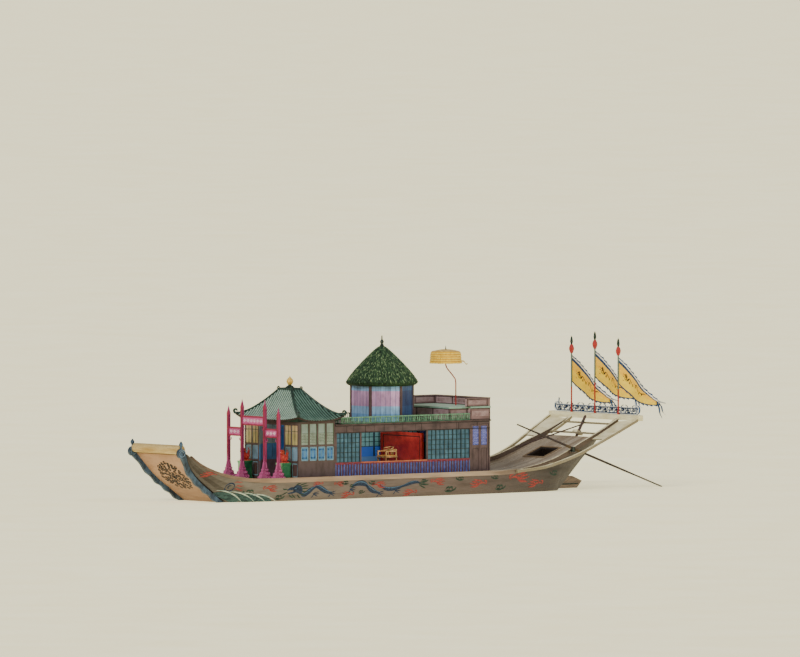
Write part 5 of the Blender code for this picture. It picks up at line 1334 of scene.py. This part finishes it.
# Cabin
# A framed cabin of dark lacquered boards. Blue-green windows of small panes fill the bays behind the
# lattice, the open bay has an orange sill and the others red ones, and thin lines divide the frieze.

CABIN_SILL = 1.85
CABIN_HEAD = 2.88
INNER_PANEL = 0.36
ROOF_TOP = 3.20
BAYS = {"fore": (2.01, 3.0597, 3), "open": (-0.99, 1.94, 8), "aft": (-2.96, -1.06, 5)}

cabin_finish, shader, place, wear = worn_finish("cabin_lacquer", (0.5, 1, 1), 5.0)
x, y, z = parts_of(place)
tone = shades(wear, "443636", "604D4C")
inside = below(times(facing(place)[1], y), -0.5)
tone = mixed(tone, linear("6FA4DC"), times(inside, 0.92))
bars = times(above(z, CABIN_SILL + 0.001), below(z, CABIN_HEAD - 0.001))
slim = below(extent(y), CABIN_HALF - 0.012)
tone = mixed(tone, linear("1A3233"), times(times(bars, slim), 0.9))
joints = seam_lines(sums("ADD", x, 20.03), 0.93, 0.014)
over_head = above(z, CABIN_HEAD)
tone = mixed(tone, linear("1E1615"), times(joints, over_head))
coat(shader, tone, wear, 0.3, 0.3, 0.003, height=sums("MULTIPLY_ADD", joints, -0.8, wear))
dress(cabin_finish, "cabin_wall_port", "cabin_wall_starboard")

dress(brushed("dark_lacquer", "5F4B48", "3D2F2E", (0.5, 1, 1), 5.0, 0.45), "cabin_roof", "cabin_wall_aft")

pane_finish, shader, place, cloud = worn_finish("window_pane", (1, 1, 1), 3.0, 5.0)
x, y, z = parts_of(place)
toward_side = times(facing(place)[1], y)
outer_tone = shades(cloud, "36566A", "547C92", 0.65)
# Inside, the panes are painted a lighter teal than outside, which is painted light against the cabin's
# shade. Below the inner panel's top they are blue.
inner_colour_and_light = mixed(shades(cloud, "6FB0B4", "9AD8D8", 0.65), linear("4C86F0"),
                   below(z, CABIN_SILL + INNER_PANEL))
tone = mixed(outer_tone, inner_colour_and_light, below(toward_side, 0.0))
coat(shader, tone, cloud, 0.15, 0.1, 0.002, swing=0.2)
bar_finish = brushed("lattice_paint", "234444", "122627", (1, 1, 1), 8.0, 0.45)
panes, bars = [], []
for sign in (1, -1):
    for label, (x0, x1, columns) in BAYS.items():
        if sign > 0 and label == "open":
            continue
        left, right, foot, head = x0 + 0.001, x1 - 0.001, CABIN_SILL + 0.001, CABIN_HEAD - 0.001
        inner, outer = sign * (CABIN_HALF - 0.0455), sign * (CABIN_HALF - 0.051)
        panes.append(((x0 + 0.0005, inner, CABIN_SILL + 0.0005),
                      (x1 - 0.0005, outer, CABIN_HEAD - 0.0005)))
        panel_top = CABIN_SILL + INNER_PANEL
        outer_bars = (x0 + (x1 - x0) * (np.arange(columns) + 0.5) / columns,
                      CABIN_SILL + (CABIN_HEAD - CABIN_SILL) * (np.arange(3) + 0.5) / 3)
        inner_bars = (np.linspace(x0, x1, 2 * columns + 1)[1:-1],
                      np.linspace(panel_top, CABIN_HEAD, 5)[:-1])
        for (upright, level), half, deep, shallow, low in ((outer_bars, 0.008, 0.044, 0.020, foot),
                                                           (inner_bars, 0.010, 0.062, 0.0512, panel_top)):
            near, far = sign * (CABIN_HALF - deep), sign * (CABIN_HALF - shallow)
            bars += [((x_at - half, near, low), (x_at + half, far, head)) for x_at in upright]
            bars += [((left, near + sign * 0.001, z_at - half), (right, far - sign * 0.001, z_at + half))
                     for z_at in level]
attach(boxes("cabin_panes", panes, pane_finish), "barge")
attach(boxes("cabin_fine_lattice", bars, bar_finish), "barge")

trim_orange = brushed("sill_orange", "D8794E", "A8503A", (0.4, 1, 1), 6.0, 0.45)
trim_red = brushed("trim_red", "9C3A46", "6E2430", (0.4, 1, 1), 6.0, 0.45)
edge_line = brushed("edge_line", "2E2423", "1B1514", (0.4, 1, 1), 6.0, 0.5)
orange_bars, red_bars, line_bars = [], [], []
for sign in (1, -1):
    skin, proud = sign * (CABIN_HALF + 0.0002), sign * (CABIN_HALF + 0.014)
    orange_bars.append(((-1.02, skin, 1.805), (1.97, proud, 1.845)))
    for x0, x1 in ((2.0, 3.12), (-2.95, -1.06)):
        red_bars.append(((x0, skin, 1.80), (x1, sign * (CABIN_HALF + 0.010), 1.835)))
    for z_at in (2.885, 3.125):
        line_bars.append(((-3.87, skin, z_at), (3.12, sign * (CABIN_HALF + 0.010), z_at + 0.022)))
    for x_at in np.linspace(-3.3, 2.6, 8):
        line_bars.append(((x_at, skin, 2.907), (x_at + 0.016, sign * (CABIN_HALF + 0.006), 3.125)))
for name, bars, finish in (("cabin_orange_sills", orange_bars, trim_orange),
                           ("cabin_red_sills", red_bars, trim_red),
                           ("cabin_frieze_lines", line_bars, edge_line)):
    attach(boxes(name, bars, finish), "barge")


# Baluster panels
# Under the windows, turned violet balusters stand in front of a dark red board, held by two slim red
# rails.

SLAT_X = np.linspace(-2.93, 3.1047, 25)

panel_finish, shader, place, wear = worn_finish("baluster_paint", (1, 1, 0.5), 7.0)
proud = above(extent(parts_of(place)[1]), CABIN_HALF + 0.006)
tone = two_tone(wear, ("482C38", "663C4C"), ("3A4C84", "5A70AC"), proud)
coat(shader, tone, wear, 0.3, 0.25, 0.002)
dress(panel_finish, "baluster_panel_port", "baluster_panel_starboard")

violet = brushed("violet_paint", "5C64A6", "3A4280", (1, 1, 0.6), 8.0, 0.4)
profile = np.array(((1.292, 0.020), (1.33, 0.030), (1.40, 0.036), (1.46, 0.024), (1.52, 0.036),
                    (1.58, 0.036), (1.64, 0.022), (1.70, 0.034), (1.75, 0.028), (1.785, 0.018)))
lathe = [points(x_at, sign * (CABIN_HALF + 0.004), profile[:, 0]) for sign in (1, -1)
         for x_at in (SLAT_X[:-1] + SLAT_X[1:]) / 2]
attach(tubes("cabin_balusters", lathe, profile[:, 1] * 1.15, violet, 8), "barge")
bars = [((-2.954, sign * (CABIN_HALF + 0.0125), z_at), (3.12, sign * (CABIN_HALF + 0.024), z_at + 0.022))
        for sign in (1, -1) for z_at in (1.278, 1.765)]
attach(boxes("baluster_rails", bars, trim_red), "barge")


# Roof rail
# A low balustrade edges the flat roof at both sides and toward the bow. Turned green balusters stand
# between its top rail and a darker foot rail.

rail_green = brushed("rail_green", "7AA886", "456E56", (1, 1, 1), 7.0, 0.45)
dress(rail_green, "roof_rail")
turned_profile = np.array(((3.241, 0.020), (3.262, 0.014), (3.285, 0.024), (3.315, 0.028), (3.345, 0.018),
                           (3.375, 0.024), (3.392, 0.014), (3.409, 0.020)))
slats = np.linspace(-2.94, 2.815, 24)
places = np.concatenate([slats[:-1] + (slats[1:] - slats[:-1]) * part for part in (1 / 3, 2 / 3)])
lathe = [points(x_at, sign * 1.545, turned_profile[:, 0]) for sign in (1, -1) for x_at in places]
ends = np.linspace(-1.32, 1.32, 11)
lathe += [points(2.815, y_at, turned_profile[:, 0]) for y_at in (ends[:-1] + ends[1:]) / 2]
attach(tubes("roof_balusters", lathe, turned_profile[:, 1] * 0.72, rail_green, 8), "barge")
bars = [((-2.96, sign * 1.512, 3.2005), (2.84, sign * 1.578, 3.232)) for sign in (1, -1)]
bars.append(((2.78, -1.51, 3.2005), (2.848, 1.51, 3.232)))
deep_green = brushed("deep_green", "3E6B52", "244635", (1, 1, 1), 7.0, 0.45)
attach(boxes("roof_foot_rail", bars, deep_green), "barge")


# Furniture
# On a low dais in the open bay stands a bent armchair of yellow wood, in front of a red screen with a gilt
# border. The dais has a front painted blue.

dais_finish, shader, place, wear = worn_finish("dais_paint", (1, 1, 1), 5.0)
tone = two_tone(wear, ("2C56A8", "4478CC"), ("5A3A34", "80544A"), above(facing(place)[2], 0.5))
coat(shader, tone, wear, 0.4, 0.25, 0.002)
dress(dais_finish, "dais")
chair_wood = brushed("chair_wood", "CDA468", "94693A", (1, 1, 0.5), 9.0, 0.45)
dress(chair_wood, "armchair")
dress(brushed("screen_red", "E0483A", "A82A26", (1, 0.6, 0.6), 3.0, 0.4), "red_screen")
bars = []
panel_rim(bars, -1.1798, (-1.19, 0.96), (1.60, 2.65), 0.03, 0.0058, 0)
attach(boxes("red_screen_border", bars, gold_finish), "barge")

seat = np.array((-0.20, 0.30, 1.5606))
arc = np.linspace(0, np.pi, 15)
back = [seat + points(-0.02 - size * np.sin(arc) * 0.96, size * np.cos(arc), lift + 0.05 * np.sin(arc))
        for lift, size in ((0.58, 0.245), (0.66, 0.225))]
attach(tubes("armchair_rails", back, 0.014, chair_wood, 6), "barge")
mat_finish = brushed("seat_mat", "E0A24A", "B4772C", (1, 1, 1), 20.0, 0.7)
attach(boxes("armchair_mat", [seat + ((-0.20, -0.20, 0.4002), (0.25, 0.20, 0.418))], mat_finish),
        "barge")


# Cabin doors
# Each side has two hinged leaves: brown stiles and lower panels, with upper panels of blue paint under a
# fine lattice of flowers.

DOOR_MIDDLE = 1.535
DOOR_EDGES = {"aft": (-3.794, -3.431), "fore": (-3.419, -3.056)}

door_finish, shader, place, wear = worn_finish("door_paint", (1, 1, 0.5), 6.0)
x, y, z = parts_of(place)
upper_panel = times(within(extent(y), DOOR_MIDDLE, 0.0085), above(z, 2.25))
tone = two_tone(wear, ("4A3A39", "675352"), ("32428A", "4E5EAC"), upper_panel)
coat(shader, tone, wear, 0.35, 0.25, 0.002)
dress(door_finish, "door_port_aft", "door_port_fore", "door_starboard_aft", "door_starboard_fore")

flower_paint = brush_paint("flower_pale", "B2ACDC", "6A6ABC", 24.0)
petal = np.linspace(0, 2 * np.pi, 31)
for side, sign in (("port", 1), ("starboard", -1)):
    for end, (x0, x1) in DOOR_EDGES.items():
        paths = []
        for row, z_at in enumerate(np.linspace(2.37, 2.92, 7)):
            for column in range(3):
                x_at = x0 + 0.075 + (x1 - x0 - 0.15) * (column + 0.25 + 0.5 * (row % 2)) / 3
                size = 0.030 * (1.0 + 0.38 * np.cos(5 * petal + row + column))
                for face in (0.0125, -0.0125):
                    paths.append(points(x_at + size * np.cos(petal), sign * (DOOR_MIDDLE + face * 0.76),
                                        z_at + size * np.sin(petal)))
        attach(tubes(f"door_flowers_{side}_{end}", paths, 0.0055, flower_paint, 5), f"door_{side}_{end}")
        bars = []
        for face in (1, -1):
            panel_rim(bars, sign * (DOOR_MIDDLE + face * 0.0082), (x0 + 0.06, x1 - 0.06), (1.42, 2.18),
                      0.01, sign * face * 0.005, 1)
        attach(boxes(f"door_beads_{side}_{end}", bars, edge_line), f"door_{side}_{end}")


# Tower
# Six walls of upright boards stand between brown corner posts. Three of them, toward the bow, are painted
# rose between two bands of blue, and the three aft are painted plain deep blue as shade. Thin battens
# cover the joints.

TOWER_X = -0.2
TOWER_RADIUS = 1.13
TOWER_TOP = 4.46
BOARDS_A_WALL = 6

tower_finish, shader, place = new_finish("tower_paint")
x, y, z = parts_of(place)
lean = sums("ARCTAN2", y, minus(x, TOWER_X))
share = times(lean, 3 / np.pi)
wear = noise(place, (1, 1, 0.35), 7.0, 6.0)
height = sums("DIVIDE", minus(z, ROOF_TOP), TOWER_TOP - ROOF_TOP)
fore_bands = ramp(height, ((0.0, "7CB2DE"), (0.22, "9CCAEE"), (0.435, "D4A8D0"), (0.865, "8EBEE8")),
                  "CONSTANT")
# The walls facing aft are painted deep blue all over: painted shade.
aft_shade_bands = ramp(height, ((0.0, "48699C"), (0.435, "445888"), (0.865, "4E72A4")), "CONSTANT")
aft = below(facing(place)[0], -0.3)
tone = mixed(fore_bands, aft_shade_bands, aft)
board = board_tone(sums("ADD", share, 30.5), 1.0 / BOARDS_A_WALL)
tone = mixed(tone, ramp(board, ((0.0, "CFC6CC"), (1.0, "FFFFFF"))), 0.8, "MULTIPLY")
tone = stained(tone, wear, "A8A0A4", 0.6)
saw = sums("FRACT", sums("ADD", share, 30.0))
corner = within(saw, 0.5, 0.054)
tone = mixed(tone, shades(wear, "3E2F30", "5A4646"), corner)
coat(shader, tone, wear, 0.35, 0.25, 0.002)
dress(tower_finish, "tower_wall")

batten_finish = brushed("batten_blue", "43568C", "2C3658", (1, 1, 0.4), 8.0, 0.5)
spots = []
apothem = TOWER_RADIUS * np.cos(np.pi / 6)
for wall in range(6):
    out, side = compass(np.pi / 3 * wall)
    for k in range(1, BOARDS_A_WALL):
        across = apothem * np.tan(np.pi / 3 * (k / BOARDS_A_WALL - 0.5))
        for off in (0.0003, 0.0043):
            for slide in (-0.005, 0.005):
                for level in (ROOF_TOP + 0.001, TOWER_TOP - 0.001):
                    spots.append(np.array((TOWER_X, 0, level)) + out * (apothem + off)
                                 + side * (across + slide))
count = 6 * (BOARDS_A_WALL - 1)
faces = ((8 * np.arange(count))[:, None, None] + BOX_SIDES).reshape(-1, 4).tolist()
battens = mesh_object("tower_battens", spots, faces, batten_finish, False)
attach(battens, "barge")


# Thatch
# A dome of broad green leaves laid in rows from the eave up, each row over the one below, with a turned
# iron spire through its top.

THATCH_PROFILE = ((4.44, 1.185), (4.53, 1.205), (4.60, 1.21), (4.80, 1.10), (5.03, 0.93), (5.28, 0.71),
                  (5.52, 0.47), (5.70, 0.28), (5.82, 0.13), (5.86, 0.05))
LEAF_LONG = 0.17
LEAF_WIDE = 0.040
LEAF_ROWS = 34


def dome_spot(turn, level, lift):
    """A point of the thatch at an angle and a height, lift metres out from it. The profile's radius grows
    toward the six corners by a share of 0.45 (1 / cos(a) - 1), a being the angle from a wall's middle, and
    this fades out up to 5.3 m."""
    radius = np.interp(level, *np.array(THATCH_PROFILE).T)
    off = (turn - np.pi / 6) % (np.pi / 3) - np.pi / 6
    blend = np.clip((5.3 - level) / (5.3 - 4.44), 0, 1)
    size = radius * (1 + 0.45 * blend * (np.cos(np.pi / 6) / np.cos(off) / np.cos(np.pi / 6) - 1)) + lift
    return points(TOWER_X + size * np.cos(turn), size * np.sin(turn), level + 0.55 * lift)


leaf_finish, shader, place = new_finish("leaf_thatch")
shade, reach = parts_of(place.node.outputs["UV"])[:2]
tone = ramp(shade, ((0.0, "1A2C24"), (0.30, "28422F"), (0.55, "38553C"), (0.80, "567450"),
                    (1.0, "93AC7C")))
# Each leaf darkens to near black toward its base, under the row above: painted shade.
tone = mixed(tone, linear("13251A"), ramp(reach, ((0.0, "FFFFFF"), (0.55, "404040"), (1.0, "000000"))))
coat(shader, tone, noise(place, (1, 1, 1), 40.0, 4.0), 0.35, 0.3, 0.002)

dress(brushed("under_thatch", "2C4A2A", "162619", (1, 1, 0.4), 12.0, 0.7, 0.004), "tower_roof")

slope_levels, slope_radii = np.array(THATCH_PROFILE)[2:].T
slope = walked(slope_levels, slope_radii)
starts, turns, rises = [], [], []
for row in range(LEAF_ROWS):
    run = slope[-1] * (row + 0.1) / LEAF_ROWS
    level, radius = np.interp(run, slope, slope_levels), np.interp(run, slope, slope_radii)
    leaves = max(7, int(2 * np.pi * radius / (0.82 * LEAF_WIDE)))
    k = np.arange(leaves)
    turns.append(2 * np.pi * (k + 0.5 * (row % 2) + 0.30 * np.sin(12.9 * k + 5.1 * row)) / leaves)
    starts.append(np.full(leaves, run) + 0.022 * np.sin(7.7 * k + 3.3 * row))
    rises.append(np.full(leaves, row))
turns, starts, rises = np.concatenate(turns), np.concatenate(starts), np.concatenate(rises)
count = len(turns)
skew = 0.10 * np.sin(9.1 * np.arange(count) + 1.7 * rises)
parts = np.array((-0.02, 0.45, 1.0))
length = 0.85 + 0.25 * np.sin(5.3 * np.arange(count))
run = starts[:, None] + LEAF_LONG * (1 - parts) * length[:, None] - 0.075
level = np.interp(run, slope, slope_levels) - 0.9 * np.clip(-run, 0, None)
radius = np.interp(level, *np.array(THATCH_PROFILE).T)
half = LEAF_WIDE / 2 * np.array((0.55, 1.0, 0.0)) / np.maximum(radius, 0.05)
lean = turns[:, None] + skew[:, None] * parts * LEAF_LONG / np.maximum(radius, 0.2)
lift = np.array((0.004, 0.014, 0.018))
left = dome_spot(lean - half, level, lift)
right = dome_spot(lean + half, level, lift)
ridge = dome_spot(lean, level, lift + np.array((0.004, 0.010, 0.0)))
under = dome_spot(lean, level, lift - np.array((0.003, 0.006, 0.0)))
spots = np.stack([left[:, 0], left[:, 1], ridge[:, 2], right[:, 1], right[:, 0], ridge[:, 0], ridge[:, 1],
                  under[:, 0], under[:, 1]], axis=1)
leaf_faces = [(0, 5, 6, 1), (5, 4, 3, 6), (1, 6, 2), (6, 3, 2), (0, 1, 8, 7), (7, 8, 3, 4), (1, 2, 8),
              (8, 2, 3), (0, 7, 5), (7, 4, 5)]
faces = [[9 * k + corner for corner in face] for k in range(count) for face in leaf_faces]
thatch = mesh_object("thatch_leaves", spots, faces, leaf_finish)
random = np.random.default_rng(7)
tint = np.clip(0.5 + 0.30 * random.standard_normal(count), 0, 1)
along_leaf = np.array((0.0, 0.45, 1.0, 0.45, 0.0, 0.0, 0.5, 0.0, 0.4))
pattern(thatch, points(np.repeat(tint, 9), np.tile(along_leaf, count)))
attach(thatch, "barge")

iron_finish = brushed("spire_iron", "3C463C", "1F2621", (1, 1, 1), 14.0, 0.4)
dress(iron_finish, "tower_spire")


# Aft house and terrace
# The low house on the after roof is boarded and painted a dusty rose, its edges lined in brown. A pale
# green slab covers it and a panelled parapet closes the terrace on three sides.

HOUSE_TOP = 3.62
TERRACE = 3.68
PARAPET_TOP = 3.99

house_finish, shader, place, wear = worn_finish("house_paint", (0.6, 0.6, 1), 5.0)
x, y, z = parts_of(place)
# Faces toward port and starboard get a darker copy of the rose: painted shade.
tone = two_tone(wear, ("94787A", "B4969A"), ("6A5250", "84696A"), faces_axis(place, 1, 0.6))
cap = above(z, PARAPET_TOP - 0.041)
tone = mixed(tone, shades(wear, "5A4444", "76605E"), cap)
coat(shader, tone, wear, 0.4, 0.25, 0.002)
dress(house_finish, "aft_house_wall", "aft_parapet")

slab_finish, shader, place, wear = worn_finish("pale_green_slab", (1, 1, 1), 4.0)
# The top is painted paler than the edges of the same green: painted light and shade.
tone = two_tone(wear, ("6E8C7C", "8CAC9A"), ("92B09E", "B4CDBA"), above(facing(place)[2], 0.5))
coat(shader, tone, wear, 0.45, 0.25, 0.002)
dress(slab_finish, "aft_house_slab")

house_edge = brushed("house_edge", "5C4646", "3A2B2A", (1, 1, 1), 7.0, 0.5)
house_panel = brushed("house_panel", "A98F90", "86696B", (0.6, 1, 1), 6.0, 0.5)
edge_bars, panel_bars = [], []
house_span, parapet_span = (ROOF_TOP + 0.001, HOUSE_TOP - 0.001), (TERRACE + 0.001, PARAPET_TOP - 0.041)
for sign in (1, -1):
    near, wide = sign * (CABIN_HALF - 0.16 + 0.0002), sign * (CABIN_HALF + 0.0002)
    for skin, span in ((near, (-2.978, -2.15)), (wide, (-3.88, -2.98))):
        panel_rim(edge_bars, skin, span, house_span, 0.035, sign * 0.008, 1)
    panel_bars.append(((-3.80, wide, ROOF_TOP + 0.13), (-3.06, wide + sign * 0.006, HOUSE_TOP - 0.10)))
    panel_bars.append(((-2.90, near, ROOF_TOP + 0.07), (-2.23, near + sign * 0.005, HOUSE_TOP - 0.06)))
    for skin, way in ((wide, sign), (sign * (CABIN_HALF - 0.1002), -sign)):
        panel_rim(edge_bars, skin, (-3.77, -2.822), parapet_span, 0.030, way * 0.007, 1)
        panel_bars.append(((-3.69, skin, TERRACE + 0.075),
                           (-2.90, skin + way * 0.005, PARAPET_TOP - 0.085)))
for plane, way, half, span in ((-2.1498, 1, CABIN_HALF - 0.17, house_span),
                               (-3.8802, -1, CABIN_HALF - 0.01, house_span),
                               (-3.8802, -1, CABIN_HALF - 0.01, parapet_span),
                               (-3.7798, 1, CABIN_HALF - 0.12, parapet_span)):
    for k in range(3):
        y0, y1 = -half + 2 * half * k / 3, -half + 2 * half * (k + 1) / 3
        panel_rim(edge_bars, plane, (y0 + 0.002, y1 - 0.002), span, 0.028, way * 0.007, 0)
        panel_bars.append(((plane, y0 + 0.08, span[0] + 0.075),
                           (plane + way * 0.005, y1 - 0.08, span[1] - 0.065)))
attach(boxes("house_edges", edge_bars, house_edge), "barge")
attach(boxes("house_panels", panel_bars, house_panel), "barge")


# Parasol
# A state parasol of yellow silk on a bent red pole. Five pleated flounces are sewn one under another
# round a drum, twelve bamboo ribs hold up the flat top, and a gauze ribbon trails from the hem.

PARASOL = (-2.74, 0.45, 5.20)
DRUM_PROFILE = ((0.505, 0.430), (0.545, 0.33), (0.555, 0.16), (0.572, 0.0))
CANOPY_HIGH = 0.505
COLLAR = 0.022
FLOUNCES = 5
PLEATS = 44

dress(brushed("pole_lacquer", "BC3F38", "83272A", (1, 1, 0.5), 9.0, 0.35), "parasol_pole")
canopy_finish, shader, place = new_finish("parasol_silk")
v = parts_of(place.node.outputs["UV"])[1]
# Each flounce is painted dark at its top, in the shade of the one above, and lightest near its hem: painted
# shade and painted highlight.
tier = sums("FRACT", times(v, FLOUNCES))
tone = ramp(tier, ((0.0, "B87A10"), (0.16, "E8AC1E"), (0.55, "F8CC34"), (0.86, "FAE070"),
                   (1.0, "D89C22")))
on_top = below(v, 0.0)
cloud = noise(place, (1, 1, 1), 9.0, 5.0)
tone = mixed(tone, shades(cloud, "D9A93C", "EBC75C"), on_top)
tone = stained(tone, cloud, "DCC9A0")
coat(shader, tone, noise(place, (1, 1, 1), 70.0, 2.0), 0.45, 0.15, 0.001, swing=0.2)
feed(shader, {"Sheen Weight": 0.25})

around = 2 * np.pi * np.arange(PLEATS * 8) / (PLEATS * 8)
crown = np.linspace(0, 1, 9)[:-1]
side = np.linspace(0, 1, 8 * FLOUNCES + 1)
drop = np.array(DRUM_PROFILE)[0, 1] * (1 - side)
tier = (side * FLOUNCES) % 1.0
tier[-1] = 1.0
puff = 0.016 * np.sin(np.pi * np.clip(tier, 0, 1) * 0.62) - 0.012
drum = np.interp(drop, *np.array(DRUM_PROFILE)[::-1, ::-1].T) + puff
radius = np.concatenate([COLLAR + (DRUM_PROFILE[0][0] - COLLAR) * crown, drum])
level = np.concatenate([CANOPY_HIGH - 0.075 * crown ** 1.6, drop])
loose = np.concatenate([0.05 * crown ** 2, 0.3 + 0.7 * np.clip(tier, 0, 1)])[:, None]
ribs = -0.010 * np.abs(np.sin(6 * around)) * np.concatenate([np.sin(np.pi * crown), 0 * side])[:, None]
pleat = 0.011 * loose * np.sin(PLEATS * around + 0.9 * np.sin(5 * around))
size = radius[:, None] + pleat
spots = points(PARASOL[0] + size * np.cos(around), PARASOL[1] + size * np.sin(around),
               PARASOL[2] + level[:, None] + ribs + 0.004 * loose * np.sin(9 * around))
rows = np.concatenate([-1 + crown, side])
marks = points(around / (2 * np.pi), rows[:, None])
canopy = cloth("parasol_cloth", spots, marks, canopy_finish, 0.003, True)
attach(canopy, "barge")
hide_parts("parasol_canopy")

t = np.linspace(0, 1, 25)
across = np.linspace(1, -1, 5)[:, None]
start = np.array((PARASOL[0] - 0.55, PARASOL[1] + 0.16, PARASOL[2] + 0.06))
ribbon_spots = points(start[0] - 0.36 * t + 0 * across, start[1] + 0.05 * np.sin(5 * t) + 0 * across,
                      start[2] - 0.10 * t + 0.03 * np.sin(6.5 * t) + 0.028 * (1 - 0.4 * t) * across)
ribbon_marks = points(t, 0.5 + 0.5 * across)
gauze = silk("gauze_ribbon", ((0.0, "C99A3A"), (0.2, "F0DFA6"), (0.8, "C99A3A")))
tail = cloth("parasol_ribbon", ribbon_spots, ribbon_marks, gauze, 0.003)
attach(tail, "barge")

ribs = []
for turn in 2 * np.pi * (np.arange(12) + 0.5) / 12:
    out = np.array((np.cos(turn), np.sin(turn), 0.0))
    ribs.append(np.array(PARASOL) + np.array([(0, 0, 0.476), (0, 0, 0.455), (0, 0, 0.405)])
                + out * np.array([[0.03], [0.25], [0.485]]))
bamboo = brushed("bamboo_ribs", "D8B56C", "9C7838", (1, 1, 1), 20.0, 0.4)
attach(tubes("parasol_ribs", ribs, 0.008, bamboo, 6), "barge")
spike = np.array([(0, 0, 0.42), (0, 0, 0.49), (0, 0, 0.515), (0, 0, 0.53), (0, 0, 0.56), (0, 0, 0.60),
                  (0, 0, 0.638)])
spike_radius = np.array((0.024, 0.024, 0.030, 0.018, 0.016, 0.009, 0.002))
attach(tubes("parasol_spike", [spike + np.array(PARASOL)], spike_radius, iron_finish, 12), "barge")


# Rudder
# The blade is planked like the hull and bound with two iron straps. Its raked stock of dark oiled wood
# rises through the bearing plank to the tiller.

RUDDER_PIVOT = np.array((-9.13, 0.0, 2.53))

rudder_finish, shader, place, grain = worn_finish("rudder_wood", (0.5, 1, 2), 5.0)
x, y, z = parts_of(place)
blade = below(z, 1.05)
tone = two_tone(grain, ("35292A", "54423E"), ("6A5A4E", "8A7766"), blade)
planks = times(seam_lines(sums("MULTIPLY_ADD", x, 0.5, sums("ADD", z, 9.0)), 0.22, 0.010), blade)
tone = mixed(tone, linear("40342B"), times(planks, 0.8))
coat(shader, tone, grain, 0.4, 0.35, 0.004, height=sums("MULTIPLY_ADD", planks, -0.8, grain))
dress(rudder_finish, "rudder")

bars = [((x0, sign * 0.0302, z_at - 0.025), (x1, sign * 0.036, z_at + 0.025)) for sign in (1, -1)
        for x0, x1, z_at in ((-9.12, -8.34, 0.70), (-8.80, -8.00, 0.34))]
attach(boxes("rudder_straps", bars, iron_finish), "rudder")

cord_finish = brushed("grip_cord", "7E6A4C", "52412C", (1, 1, 1), 60.0, 0.7)
down = np.array((-0.5, 0.0, 0.8660254))
side, spin = np.array((0.0, 1.0, 0.0)), 2 * np.pi * np.arange(17)[:, None] / 16
rings = [RUDDER_PIVOT + down * level + 0.052 * (np.cos(spin) * side + np.sin(spin) * np.cross(down, side))
         for level in (0.43, 0.455, 0.48)]
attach(tubes("rudder_stock_bands", rings, 0.008, iron_finish, 6), "rudder")


# Sweep oar and rowlock
# A long oar of dark oiled wood lies in an iron crutch between the bulwark and the outer rail. Its loom is
# served with cord where it bears, and its blade is a single thin board.

SWEEP_PIVOT = np.array((-7.5, 1.76, 2.07))
SWEEP_YAW = np.radians(15.0)
SWEEP_DIP = np.radians(22.4)

dress(brushed("oar_wood", "453A36", "282020", (0.5, 0.5, 0.5), 7.0, 0.5, 0.003), "sweep")
dress(iron_finish, "rowlock")
aft_way = np.array((-np.cos(SWEEP_DIP) * np.cos(SWEEP_YAW), np.cos(SWEEP_DIP) * np.sin(SWEEP_YAW),
                    -np.sin(SWEEP_DIP)))
side = np.array((np.sin(SWEEP_YAW), np.cos(SWEEP_YAW), 0.0))
over = np.cross(side, aft_way)
turns = np.linspace(0, 2 * np.pi * 14, 14 * 14 + 1)[:, None]
loops = SWEEP_PIVOT + 0.043 * (np.cos(turns) * side + np.sin(turns) * over)
servings = [loops + aft_way * (start + 0.20 * turns / turns[-1]) for start in (0.09, -0.29)]
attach(tubes("sweep_serving", servings, 0.006, cord_finish, 5), "sweep")
